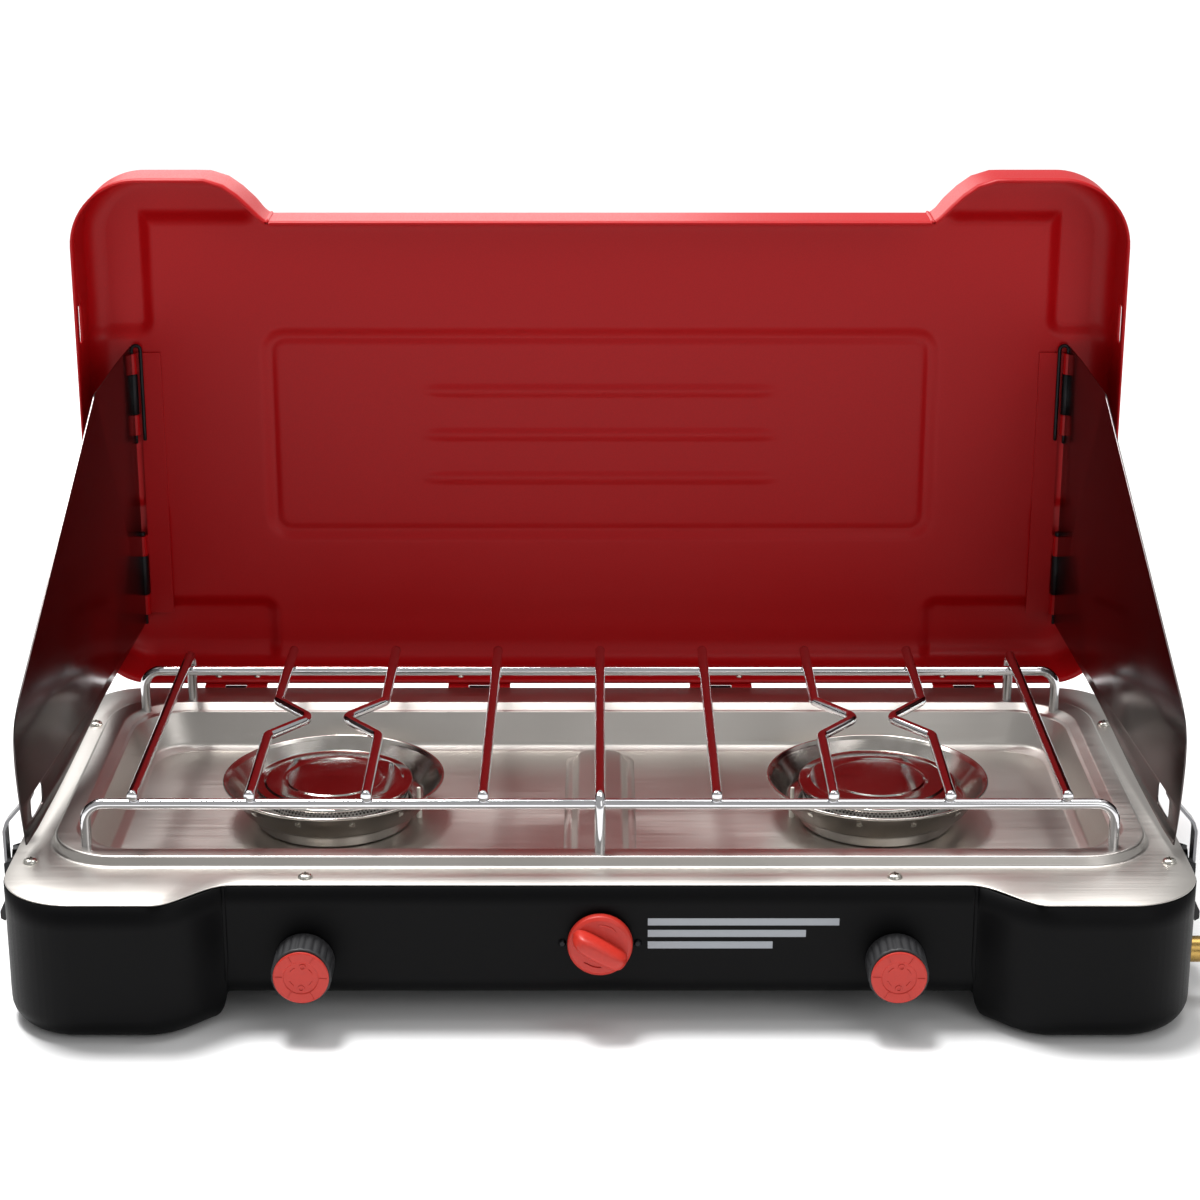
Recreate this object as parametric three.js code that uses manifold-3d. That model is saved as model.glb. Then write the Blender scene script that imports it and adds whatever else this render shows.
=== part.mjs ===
// Two-burner folding camping stove, in millimetres, +Z up, lid open and windscreens set out.
// The case's plan centre is laid out at X = 0, Y = 0 and the ground at Z = 0.
import * as THREE from 'three';
import { mergeVertices } from 'three/addons/utils/BufferGeometryUtils.js';
import Module from 'manifold-3d';

const wasm = await Module();
wasm.setup();

// ---------------------------------------------------------------- driving dimensions
const GAP = 0.3;                 // between pieces that touch
const SIDES = [-1, 1];           // left, right

const CASE_WIDTH = 650;
const CASE_FRONT = -165.7;        // front of the two corner ears
const CASE_REAR = 161;
const EAR_DEPTH = 26;            // how far the two front corners stand proud of the middle
const EAR_FLAT_END = 240;        // X where an ear's flat front starts to turn in
const EAR_TURN_END = 200;        // X where the recessed middle begins
const CORNER_RADIUS = 42;
const REAR_CORNER_RADIUS = 34;
const FRONT = CASE_FRONT + EAR_DEPTH;    // face of the recessed middle

const SHEET = 1.4;               // case and lid steel
const TRAY_SHEET = 1;
const DECK_Z = 82.5;             // top of the tray's flange
const BELLY_Z = 13.5;            // underside of the case between its feet
const EDGE_RADIUS = 14;

const RING_Z = 88;               // top of the raised ring around the pan
const PAN_Z = 62;                // pan floor
const RING = { halfX: 307, yFront: -116.4, yRear: 133 };
const HUMP = { halfX: 15, yFront: -84, yRear: 92, radius: 9, height: 6 };   // stiffening rib in the pan

const HINGE_Y = CASE_REAR + 2.9;  // lid hinge axis
const HINGE_Z = 80.2;
const LID_DEPTH = 50;
const LID_HINGE_X = [-235, -78, 78, 235];
const LID_HINGE_WIDTH = 40;

const SCREEN_PIVOT = { x: 298, y: 207.5 };   // windscreen hinge axis, close to the open lid's panel
const SCREEN_SPLAY = 3.6;        // degrees that a set-out windscreen stands outwards
const SCREEN_BOTTOM = 88.6;
const SCREEN_SHEET = 1;
const SCREEN_HINGE_Z = [143.4, 265.2];   // middles of the lower and the upper hinge
const KNUCKLE = { radius: 3, bore: 1.5, middle: 26.6, end: 13.4 };

const WIRE = 3;                  // grate wire radius
const RAIL_Z = 113;
const ROD_Z = RAIL_Z + 2 * WIRE + GAP;
const RAIL_HALF = 284;
const FRONT_RAIL_Y = -100;
const REAR_RAIL_Y = 110;
const ROD_PITCH = 64.2;
const ROD_FRONT = -105;
const ROD_REAR = 130;
const WIRE_FOOT_Z = 80;
const CENTRE_FOOT_Y = -107.2;
const REAR_FOOT_Y = 125.5;

const BURNER_X = [-156.5, 163];
const BOWL_RIM = { radius: 65, z: 88.5 };
const CAP_RADIUS = 47;
const CAP_Z = 83.6;

const KNOB_X = 161;
const KNOB_Z = 38;
const IGNITER_Z = 49;
const SPINDLE_TIP_Y = -129;
const MANIFOLD = { y: -110, z: 23.7, radius: 4 };

const LATCH_Y = -74;
const LATCH_PIVOT = { x: 331, z: 68 };
const HOOK_PIVOT_Z = 60;

// ---------------------------------------------------------------- materials
const paint = (color, roughness, metalness) =>
  new THREE.MeshStandardMaterial({ color, roughness, metalness });
const MATERIAL = {
  black: paint(0x17181a, 0.5, 0.1),
  red: paint(0xb5171d, 0.4, 0.1),
  steel: paint(0xb9b4ad, 0.35, 1),
  chrome: paint(0xd8dadc, 0.12, 1),
  polished: paint(0xc9c7c4, 0.18, 1),
  screen: paint(0x3a3232, 0.25, 1),
  hardware: paint(0x1b1b1c, 0.4, 0.5),
  grip: paint(0x141414, 0.6, 0),
  knobRed: paint(0xc43a28, 0.5, 0),
  brass: paint(0xb08d4f, 0.35, 1),
  cast: paint(0x8f8f8f, 0.55, 1),
  ceramic: paint(0xe8e2d6, 0.5, 0),
  lead: paint(0xa02a20, 0.6, 0),
};

// ---------------------------------------------------------------- shapes
const stove = new THREE.Group();

// A closed geometry as a solid that can be joined and cut.
function solid(geometry) {
  const bare = new THREE.BufferGeometry();
  bare.setAttribute('position', geometry.getAttribute('position'));
  bare.setIndex(geometry.getIndex());
  const merged = mergeVertices(bare, 1e-4);
  const index = merged.getIndex().array;
  const faces = [];
  for (let i = 0; i < index.length; i += 3) {
    const [a, b, c] = [index[i], index[i + 1], index[i + 2]];
    if (a !== b && b !== c && c !== a) faces.push(a, b, c);
  }
  return new wasm.Manifold(new wasm.Mesh({
    numProp: 3,
    vertProperties: new Float32Array(merged.getAttribute('position').array),
    triVerts: new Uint32Array(faces),
  }));
}

function geometryOf(body) {
  const mesh = body.getMesh();
  const geometry = new THREE.BufferGeometry();
  geometry.setAttribute('position', new THREE.BufferAttribute(mesh.vertProperties, 3));
  geometry.setIndex(new THREE.BufferAttribute(mesh.triVerts, 1));
  geometry.computeVertexNormals();
  return geometry;
}

function add(name, body, material, group = stove) {
  const mesh = new THREE.Mesh(geometryOf(body), material);
  mesh.name = name;
  group.add(mesh);
  return mesh;
}

const join = (bodies) => bodies.reduce((a, b) => a.add(b));

function box(x0, x1, y0, y1, z0, z1) {
  const geometry = new THREE.BoxGeometry(Math.abs(x1 - x0), y1 - y0, z1 - z0);
  geometry.translate((x0 + x1) / 2, (y0 + y1) / 2, (z0 + z1) / 2);
  return solid(geometry);
}

// A round bar of the given radius between two values of one axis.
function bar(axis, from, to, radius, at, sides = 16) {
  const geometry = new THREE.CylinderGeometry(radius, radius, to - from, sides);
  if (axis === 'x') geometry.rotateZ(-Math.PI / 2);
  if (axis === 'z') geometry.rotateX(Math.PI / 2);
  const middle = (from + to) / 2;
  const { x = middle, y = middle, z = middle } = at;
  geometry.translate(x, y, z);
  return solid(geometry);
}

// A flat outline given as [u, v] points, extruded by depth. The plane names where u and v lie.
const PLANES = {
  xy: [[1, 0, 0], [0, 1, 0], [0, 0, 1]],
  xz: [[1, 0, 0], [0, 0, 1], [0, -1, 0]],
  yz: [[0, 1, 0], [0, 0, 1], [1, 0, 0]],
};
function extrude(points, depth, plane, x = 0, y = 0, z = 0) {
  const shape = new THREE.Shape(points.map(([u, v]) => new THREE.Vector2(u, v)));
  const geometry = new THREE.ExtrudeGeometry(shape, { depth, bevelEnabled: false });
  const [u, v, w] = PLANES[plane].map((axis) => new THREE.Vector3(...axis));
  geometry.applyMatrix4(new THREE.Matrix4().makeBasis(u, v, w).setPosition(x, y, z));
  return solid(geometry);
}

// A solid of revolution about the vertical through (x, y), from a closed profile of [radius, z].
function turned(profile, x, y, segments = 32) {
  const points = [...profile, profile[0]].map(([r, z]) => new THREE.Vector2(r, z));
  const geometry = new THREE.LatheGeometry(points, segments);
  geometry.rotateX(Math.PI / 2);
  geometry.scale(1, -1, 1);
  geometry.index.array.reverse();
  geometry.translate(x, y, 0);
  return outward(geometry);
}

// The solid with its faces turned outward, whichever way its profile was drawn.
function outward(geometry) {
  const body = solid(geometry);
  if (body.volume() > 0) return body;
  geometry.index.array.reverse();
  return solid(geometry);
}

function arc(points, cx, cy, radius, fromDegrees, toDegrees, steps = 4) {
  for (let i = 0; i <= steps; i++) {
    const a = THREE.MathUtils.degToRad(fromDegrees + ((toDegrees - fromDegrees) * i) / steps);
    points.push([cx + radius * Math.cos(a), cy + radius * Math.sin(a)]);
  }
}

// Plan outline of the case, the tray's flange and the lid, drawn in from the edge by inset.
function caseOutline(inset) {
  const halfX = CASE_WIDTH / 2 - inset;
  const front = CASE_FRONT + inset;
  const rear = CASE_REAR - inset;
  const radius = CORNER_RADIUS - inset;
  const rearRadius = REAR_CORNER_RADIUS - inset;
  const shift = 0.3 * inset;
  const steps = 4;
  const points = [];
  arc(points, -halfX + radius, front + radius, radius, 180, 270);
  for (const side of SIDES) {
    for (let i = 0; i <= steps; i++) {
      const t = side < 0 ? i / steps : 1 - i / steps;
      const x = EAR_FLAT_END + shift - (EAR_FLAT_END - EAR_TURN_END) * t;
      points.push([side * x, front + (EAR_DEPTH * (1 - Math.cos(Math.PI * t))) / 2]);
    }
  }
  arc(points, halfX - radius, front + radius, radius, 270, 360);
  arc(points, halfX - rearRadius, rear - rearRadius, rearRadius, 0, 90);
  arc(points, -halfX + rearRadius, rear - rearRadius, rearRadius, 90, 180);
  return points;
}

function roundedRect(x0, x1, y0, y1, radius, steps = 3) {
  const points = [];
  arc(points, x0 + radius, y0 + radius, radius, 180, 270, steps);
  arc(points, x1 - radius, y0 + radius, radius, 270, 360, steps);
  arc(points, x1 - radius, y1 - radius, radius, 0, 90, steps);
  arc(points, x0 + radius, y1 - radius, radius, 90, 180, steps);
  return points;
}

// A body through level outlines with equal point counts: each level is { z, points }. The first and
// last are closed with flat caps.
function loft(levels) {
  const count = levels[0].points.length;
  const positions = levels.flatMap(({ z, points }) => points.flatMap(([x, y]) => [x, y, z]));
  const faces = [];
  for (let level = 0; level < levels.length - 1; level++) {
    for (let i = 0; i < count; i++) {
      const a = level * count + i;
      const b = level * count + ((i + 1) % count);
      faces.push(a, b, b + count, a, b + count, a + count);
    }
  }
  const cap = (level) => THREE.ShapeUtils.triangulateShape(
    levels[level].points.map(([x, y]) => new THREE.Vector2(x, y)), []);
  for (const [a, b, c] of cap(0)) faces.push(a, c, b);
  const last = (levels.length - 1) * count;
  for (const [a, b, c] of cap(levels.length - 1)) faces.push(last + a, last + b, last + c);
  const geometry = new THREE.BufferGeometry();
  geometry.setAttribute('position', new THREE.Float32BufferAttribute(positions, 3));
  geometry.setIndex(faces);
  return outward(geometry);
}

// Levels of a lower edge rounded by radius, standing on z, as [inset, z].
function roundedFoot(z, radius, steps = 3) {
  const levels = [];
  for (let i = 0; i <= steps; i++) {
    const a = (Math.PI / 2) * (i / steps);
    levels.push([radius * (1 - Math.sin(a)), z + radius * (1 - Math.cos(a))]);
  }
  return levels;
}

// A path through listed points, sampled exactly at them, for tubes of straight runs and bends.
class PointPath extends THREE.Curve {
  constructor(points) {
    super();
    this.points = points;
  }
  getPoint(t, target = new THREE.Vector3()) {
    const last = this.points.length - 1;
    const i = Math.min(Math.floor(t * last + 1e-9), last - 1);
    return target.copy(this.points[i]).lerp(this.points[i + 1], t * last - i);
  }
  getPointAt(t, target) {
    return this.getPoint(t, target);
  }
  getTangentAt(t, target = new THREE.Vector3()) {
    const i = Math.round(t * (this.points.length - 1));
    const before = this.points[Math.max(i - 1, 0)];
    const here = this.points[i];
    const after = this.points[Math.min(i + 1, this.points.length - 1)];
    const ahead = after.clone().sub(here).normalize();
    return target.copy(here).sub(before).normalize().add(ahead).normalize();
  }
}

// Corner points with each inner corner rounded by radius.
function bent(corners, radius, steps = 4) {
  const points = corners.map((p) => new THREE.Vector3(...p));
  const path = [points[0]];
  for (let i = 1; i < points.length - 1; i++) {
    const back = points[i - 1].clone().sub(points[i]).normalize();
    const ahead = points[i + 1].clone().sub(points[i]).normalize();
    const half = back.angleTo(ahead) / 2;
    const run = radius / Math.tan(half);
    const centre = back.clone().add(ahead).normalize().multiplyScalar(radius / Math.sin(half));
    const start = back.multiplyScalar(run).sub(centre);
    const end = ahead.multiplyScalar(run).sub(centre);
    const sweep = start.angleTo(end);
    for (let k = 0; k <= steps; k++) {
      const share = k / steps;
      const a = Math.sin((1 - share) * sweep) / Math.sin(sweep);
      const b = Math.sin(share * sweep) / Math.sin(sweep);
      path.push(start.clone().multiplyScalar(a).addScaledVector(end, b).add(centre).add(points[i]));
    }
  }
  path.push(points[points.length - 1]);
  return path;
}

function tube(path, radius, sides = 8) {
  const section = new THREE.Shape();
  const points = [];
  arc(points, 0, 0, radius, 0, 360 - 360 / sides, sides - 1);
  section.setFromPoints(points.map(([x, y]) => new THREE.Vector2(x, y)));
  const geometry = new THREE.ExtrudeGeometry(section, {
    steps: path.length - 1, extrudePath: new PointPath(path), bevelEnabled: false,
  });
  return solid(geometry);
}

// ---------------------------------------------------------------- case
function footOutline(side, inset) {
  const outer = CASE_WIDTH / 2 - inset;
  const inner = 205 + inset;
  const [front, rear] = [CASE_FRONT + inset, CASE_REAR - inset];
  const [r, q, s] = [CORNER_RADIUS, REAR_CORNER_RADIUS, 30].map((radius) => radius - inset);
  const points = [];
  const turns = side < 0
    ? [[-outer + r, r, 180], [-inner - s, s, 270], [-inner - s, s, 0], [-outer + q, q, 90]]
    : [[inner + s, s, 180], [outer - r, r, 270], [outer - q, q, 0], [inner + s, s, 90]];
  turns.forEach(([cx, radius, from], i) => {
    const cy = i < 2 ? front + radius : rear - radius;
    arc(points, cx, cy, radius, from, from + 90, 3);
  });
  return points;
}

function caseBody() {
  const lipZ = DECK_Z - TRAY_SHEET - GAP;
  const level = ([inset, z]) => ({ z, points: caseOutline(inset) });
  const outer = loft([...roundedFoot(BELLY_Z, EDGE_RADIUS), [0, lipZ]].map(level));
  const inner = loft([
    ...roundedFoot(BELLY_Z + SHEET, EDGE_RADIUS - SHEET).map(([inset, z]) => [inset + SHEET, z]),
    [SHEET, lipZ - SHEET],
  ].map(level));
  const mouth = loft([[12, lipZ - 2 * SHEET], [12, lipZ + 1]].map(level));
  const foot = (side, skin, top) => loft([
    ...roundedFoot(skin, EDGE_RADIUS - skin).map(([inset, z]) => [inset + skin, z]), [skin, top],
  ].map(([inset, z]) => ({ z, points: footOutline(side, inset) })));
  const shell = join([outer, ...SIDES.map((side) => foot(side, 0, BELLY_Z + EDGE_RADIUS))]);
  const hollow = join([inner, mouth, ...SIDES.map((side) => foot(side, SHEET, BELLY_Z + EDGE_RADIUS))]);
  return shell.subtract(hollow);
}

const wallHoles = [
  ...SIDES.map((side) => bar('y', FRONT - 5, FRONT + 5, 5, { x: side * KNOB_X, z: KNOB_Z })),
  bar('y', FRONT - 5, FRONT + 5, 6, { x: 0, z: IGNITER_Z }),
  bar('x', 320, 330, 8, { y: MANIFOLD.y, z: MANIFOLD.z + 6 }),
];
add('base_shell', caseBody().subtract(join(wallHoles)), MATERIAL.black);

// ---------------------------------------------------------------- drip tray
const ringOutline = (inset, radius) => roundedRect(
  -RING.halfX + inset, RING.halfX - inset, RING.yFront + inset, RING.yRear - inset, radius);

function trayBody() {
  const t = TRAY_SHEET;
  const deck = loft([[0.4, DECK_Z - t], [0.4, DECK_Z]].map(([inset, z]) =>
    ({ z, points: caseOutline(inset) })));
  const well = loft([DECK_Z - 2 * t, DECK_Z + t].map((z) => ({ z, points: ringOutline(0.5, 40) })));
  const wall = (list) => list.map(([inset, z, r]) => ({ z, points: ringOutline(inset, r) }));
  const panTop = [[0, DECK_Z, 40], [2.4, RING_Z, 40], [13, RING_Z, 34], [19, RING_Z - 6, 32],
    [26, PAN_Z + 4, 28], [31, PAN_Z, 26]];
  const under = panTop.map(([inset, z, r], i) => [i < 2 ? inset + t : inset - (i > 3 ? 0.6 : 0), z - t, r]);
  const pan = loft([...wall(under).reverse(), ...wall(panTop)]);
  const hump = (skin, top) => loft([[0, PAN_Z - 2 * t], [0, PAN_Z - t - 0.01], [3, top]].map(([inset, z]) => {
    const d = skin + inset;
    return { z, points: roundedRect(-HUMP.halfX + d, HUMP.halfX - d, HUMP.yFront + d, HUMP.yRear - d,
      HUMP.radius - skin) };
  }));
  const above = box(-HUMP.halfX, HUMP.halfX, HUMP.yFront, HUMP.yRear, PAN_Z - t, PAN_Z + HUMP.height);
  const rib = hump(0, PAN_Z + HUMP.height).intersect(above);
  return deck.subtract(well).add(pan).add(rib).subtract(hump(t, PAN_Z + HUMP.height - t));
}

const wireFeet = [
  ...SIDES.flatMap((side) => [[side * RAIL_HALF, FRONT_RAIL_Y], [side * RAIL_HALF, REAR_RAIL_Y],
    [side * 4 * ROD_PITCH, REAR_FOOT_Y]]),
  [0, CENTRE_FOOT_Y],
];
const ELECTRODE_OFFSET = 49.6;
const electrodeX = (side) => BURNER_X[(side + 1) / 2] - side * ELECTRODE_OFFSET;
const trayHoles = [
  ...wireFeet.map(([x, y]) => bar('z', RING_Z - 10, RING_Z + 2, WIRE + 0.8, { x, y }, 12)),
  ...BURNER_X.map((x) => bar('z', PAN_Z - 4, PAN_Z + 4, 14, { x, y: 0 }, 20)),
  ...SIDES.map((side) => bar('z', PAN_Z - 4, PAN_Z + 4, 2.6, { x: electrodeX(side), y: 0 }, 10)),
];
add('drip_tray', trayBody().subtract(join(trayHoles)), MATERIAL.steel);

// ---------------------------------------------------------------- gas train and burners
add('gas_inlet', join([
  bar('x', 318, 338, 7.4, { y: MANIFOLD.y, z: MANIFOLD.z + 6 }, 20),
  bar('x', 312, 323, 10, { y: MANIFOLD.y, z: MANIFOLD.z + 6 }, 6),
]).subtract(bar('x', 322, 345, 4, { y: MANIFOLD.y, z: MANIFOLD.z + 6 }, 12)), MATERIAL.brass);

add('manifold_tube', tube(bent([
  [-KNOB_X - 12, MANIFOLD.y, MANIFOLD.z], [296, MANIFOLD.y, MANIFOLD.z],
  [303, MANIFOLD.y, MANIFOLD.z + 6], [312 - GAP, MANIFOLD.y, MANIFOLD.z + 6],
], 6, 2), MANIFOLD.radius, 10), MATERIAL.brass);

const VALVE_FACE = FRONT + SHEET + 0.5;
const IGNITER_REAR_Y = -106;
const sideName = (side) => (side < 0 ? 'left' : 'right');
for (const side of SIDES) {
  const x = side * KNOB_X;
  const burnerX = BURNER_X[(side + 1) / 2];
  const valve = join([
    box(x - 10, x + 10, VALVE_FACE + 4, -101, MANIFOLD.z + MANIFOLD.radius + GAP, KNOB_Z + 10),
    bar('y', VALVE_FACE, VALVE_FACE + 6, 7.5, { x, z: KNOB_Z }, 14),
    bar('y', -102, -94, 4, { x, z: KNOB_Z }, 10),
  ]).subtract(bar('y', VALVE_FACE - 1, SPINDLE_TIP_Y + 2, 3.4, { x, z: KNOB_Z }, 12));
  add(`valve_body_${sideName(side)}`, valve, MATERIAL.brass);

  const mixingPath = bent([[x, -92, KNOB_Z], [burnerX, -20, KNOB_Z], [burnerX, 0, KNOB_Z + 12],
    [burnerX, 0, PAN_Z + 1.6]], 9, 2);
  const bore = mixingPath.map((p) => p.clone());
  bore[0].y -= 1;
  bore[bore.length - 1].z += 1;
  add(`mixing_tube_${sideName(side)}`, tube(mixingPath, 9, 8).subtract(tube(bore, 7.6, 8)), MATERIAL.cast);

  const floor = PAN_Z + GAP;
  const rim = BOWL_RIM.radius;
  const bowl = turned([[12, floor], [46, floor], [46, 71.4], [53, 71.4], [rim - 1.4, BOWL_RIM.z - 0.8],
    [rim, BOWL_RIM.z], [rim - 2, BOWL_RIM.z], [52.2, 72.4], [45, 72.4], [45, floor + 1], [12, floor + 1]],
  burnerX, 0, 28);
  const electrodeHole = bar('z', 65, 78, 2.3, { x: electrodeX(side), y: 0 }, 10);
  add(`burner_bowl_${sideName(side)}`, bowl.subtract(electrodeHole), MATERIAL.polished);

  const head = floor + 1 + GAP;
  add(`burner_head_${sideName(side)}`, turned([[10, head], [40, head], [43.4, head + 4], [43.4, CAP_Z - GAP],
    [40.6, CAP_Z - GAP], [40.6, head + 2.6], [10, head + 2.6]], burnerX, 0, 20), MATERIAL.cast);

  const cap = turned([[0, CAP_Z], [CAP_RADIUS - 1, CAP_Z], [CAP_RADIUS, CAP_Z + 1],
    [CAP_RADIUS - 2, CAP_Z + 2.4], [30, CAP_Z + 3.4], [0, CAP_Z + 3.8]], burnerX, 0, 24);
  add(`burner_cap_${sideName(side)}`, cap, MATERIAL.polished);

  const electrode = join([
    bar('z', 50, 70, 1.9, { x: electrodeX(side), y: 0 }, 10),
    bar('z', 69, 80.5, 1.1, { x: electrodeX(side), y: 0 }, 8),
  ]);
  add(`electrode_${sideName(side)}`, electrode, MATERIAL.ceramic);

  const lead = bent([[electrodeX(side), 0, 50 - GAP], [electrodeX(side), 0, 44],
    [side * 30, -50, 40], [side * 5, -90, IGNITER_Z], [side * 5, IGNITER_REAR_Y + GAP, IGNITER_Z]], 4, 2);
  add(`ignition_lead_${sideName(side)}`, tube(lead, 1.4, 6), MATERIAL.lead);
}

const igniterBody = bar('y', FRONT + SHEET + GAP, IGNITER_REAR_Y, 11, { x: 0, z: IGNITER_Z }, 20)
  .subtract(bar('y', FRONT, SPINDLE_TIP_Y + 2, 3.6, { x: 0, z: IGNITER_Z }, 12));
add('igniter_body', igniterBody, MATERIAL.grip);

// ---------------------------------------------------------------- knobs
const KNOB_BACK = FRONT - 1;
for (const side of SIDES) {
  const at = { x: side * KNOB_X, z: KNOB_Z };
  const flutes = 20;
  const outline = [];
  for (let i = 0; i < 2 * flutes; i++) {
    const a = (Math.PI * i) / flutes;
    const r = i % 2 ? 15.6 : 16.6;
    outline.push([at.x + r * Math.cos(a), at.z + r * Math.sin(a)]);
  }
  const grip = extrude(outline, 20, 'xz', 0, KNOB_BACK, 0)
    .add(bar('y', SPINDLE_TIP_Y - 13, SPINDLE_TIP_Y, 3, at, 12));
  add(`knob_grip_${sideName(side)}`, grip, MATERIAL.grip);
  const faceY = KNOB_BACK - 20 - GAP;
  add(`knob_face_${sideName(side)}`, bar('y', faceY - 2, faceY, 15.2, at, 24), MATERIAL.knobRed);
}
const igniterAt = { x: 0, z: IGNITER_Z };
const turnedBar = box(-16.5, 16.5, KNOB_BACK - 19, KNOB_BACK - 6, -5, 5)
  .rotate([0, 30, 0]).translate([0, 0, IGNITER_Z]);
add('igniter_knob', join([
  bar('y', KNOB_BACK - 7, KNOB_BACK, 18, igniterAt, 32), turnedBar,
  bar('y', SPINDLE_TIP_Y - 13, SPINDLE_TIP_Y, 3, igniterAt, 12),
]), MATERIAL.knobRed);

// ---------------------------------------------------------------- grate
function rail(name, y) {
  const path = bent([[-RAIL_HALF, y, WIRE_FOOT_Z], [-RAIL_HALF, y, RAIL_Z],
    [RAIL_HALF, y, RAIL_Z], [RAIL_HALF, y, WIRE_FOOT_Z]], 10, 4);
  add(name, tube(path, WIRE), MATERIAL.chrome);
}
rail('grate_front_rail', FRONT_RAIL_Y);
rail('grate_rear_rail', REAR_RAIL_Y);

const KINK = { depth: 22, middle: 13, half: 28 };
for (let i = -4; i <= 4; i++) {
  const x = i * ROD_PITCH;
  let path = [[x, ROD_FRONT, ROD_Z], [x, ROD_REAR, ROD_Z]];
  if (i === 0) path = [[0, CENTRE_FOOT_Y, WIRE_FOOT_Z], [0, CENTRE_FOOT_Y, ROD_Z], path[1]];
  if (Math.abs(i) === 4) path = [path[0], [x, REAR_FOOT_Y, ROD_Z], [x, REAR_FOOT_Y, WIRE_FOOT_Z]];
  if (Math.abs(i) === 2 || Math.abs(i) === 3) {
    const toward = Math.sign(i) * (Math.abs(i) === 3 ? -1 : 1);
    const apex = x + toward * KINK.depth;
    path = [path[0], [x, KINK.middle - KINK.half, ROD_Z], [apex, KINK.middle, ROD_Z],
      [x, KINK.middle + KINK.half, ROD_Z], path[1]];
  }
  const wire = Math.abs(i) === 1 ? path.map((p) => new THREE.Vector3(...p)) : bent(path, 7, 3);
  add(`grate_rod_${i + 5}`, tube(wire, WIRE), MATERIAL.chrome);
}

// ---------------------------------------------------------------- lid, modelled closed and turned open
const lidGroup = new THREE.Group();
lidGroup.position.set(0, HINGE_Y, HINGE_Z);
lidGroup.rotation.x = -Math.PI / 2;
stove.add(lidGroup);

const LID_RIM_Z = DECK_Z + 0.5;
const LID_TOP_Z = LID_RIM_Z + LID_DEPTH;
const POCKET_DEPTH = 4.5;                // the corners are pressed out past the main panel
const PANEL_Z = LID_TOP_Z - POCKET_DEPTH;

// The lid's outer form (skin 0) or its hollow (skin SHEET) up to a top level.
function lidForm(skin, top) {
  const crown = roundedFoot(0, EDGE_RADIUS - skin).map(([inset, z]) => [inset + skin, top - skin - z]);
  const rim = [skin, LID_RIM_Z - (skin ? 1 : 0)];
  return loft([rim, ...crown.reverse()].map(([inset, z]) => ({ z, points: caseOutline(inset) })));
}
const prism = (points, z0 = 0, z1 = LID_TOP_Z + 10) => loft([{ z: z0, points }, { z: z1, points }]);
// The stepped pockets: tall arms along the side, short ones along the ends. Each is open past the
// lid's edge, so only its inner edge in X and its limit in Y are stated.
const POCKETS = {
  cornerRadius: 10,
  front: [{ x: 284, y: -59 }, { x: 215, y: -132 }],
  rear: [{ x: 282, y: 50 }, { x: 212, y: 118 }],
};
const PAST_LID = { x: CASE_WIDTH / 2 + 15, y: 190 };
function pockets(side, skin) {
  const area = (x, y0, y1) => {
    const [x0, x1] = [side * (x + skin), side * PAST_LID.x].sort((p, q) => p - q);
    return prism(roundedRect(x0, x1, y0, y1, POCKETS.cornerRadius - skin, 2));
  };
  return [...POCKETS.front.map(({ x, y }) => area(x, -PAST_LID.y, y - skin)),
    ...POCKETS.rear.map(({ x, y }) => area(x, y + skin, PAST_LID.y))];
}
// The raised panel in the middle, bulging outwards.
const BADGE = { halfX: 211, yFront: -58, yRear: 72, radius: 10, height: 3 };
const badge = (grow, z0, z1) => prism(roundedRect(-BADGE.halfX - grow, BADGE.halfX + grow,
  BADGE.yFront - grow, BADGE.yRear + grow, BADGE.radius, 2), z0, z1);
function lidSkin(skin) {
  const pressed = lidForm(skin, LID_TOP_Z).intersect(join(SIDES.flatMap((side) => pockets(side, skin))));
  return join([lidForm(skin, PANEL_Z), pressed, badge(-skin, PANEL_Z - 10, PANEL_Z + BADGE.height - skin)]);
}
const latchSlot = box(-330, 330, LATCH_Y - 12, LATCH_Y + 12, LID_RIM_Z + 7, LID_RIM_Z + 13);
const lid = lidSkin(0).subtract(lidSkin(SHEET)).subtract(latchSlot);
add('lid_shell', lid.translate([0, -HINGE_Y, -HINGE_Z]), MATERIAL.red, lidGroup);

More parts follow.
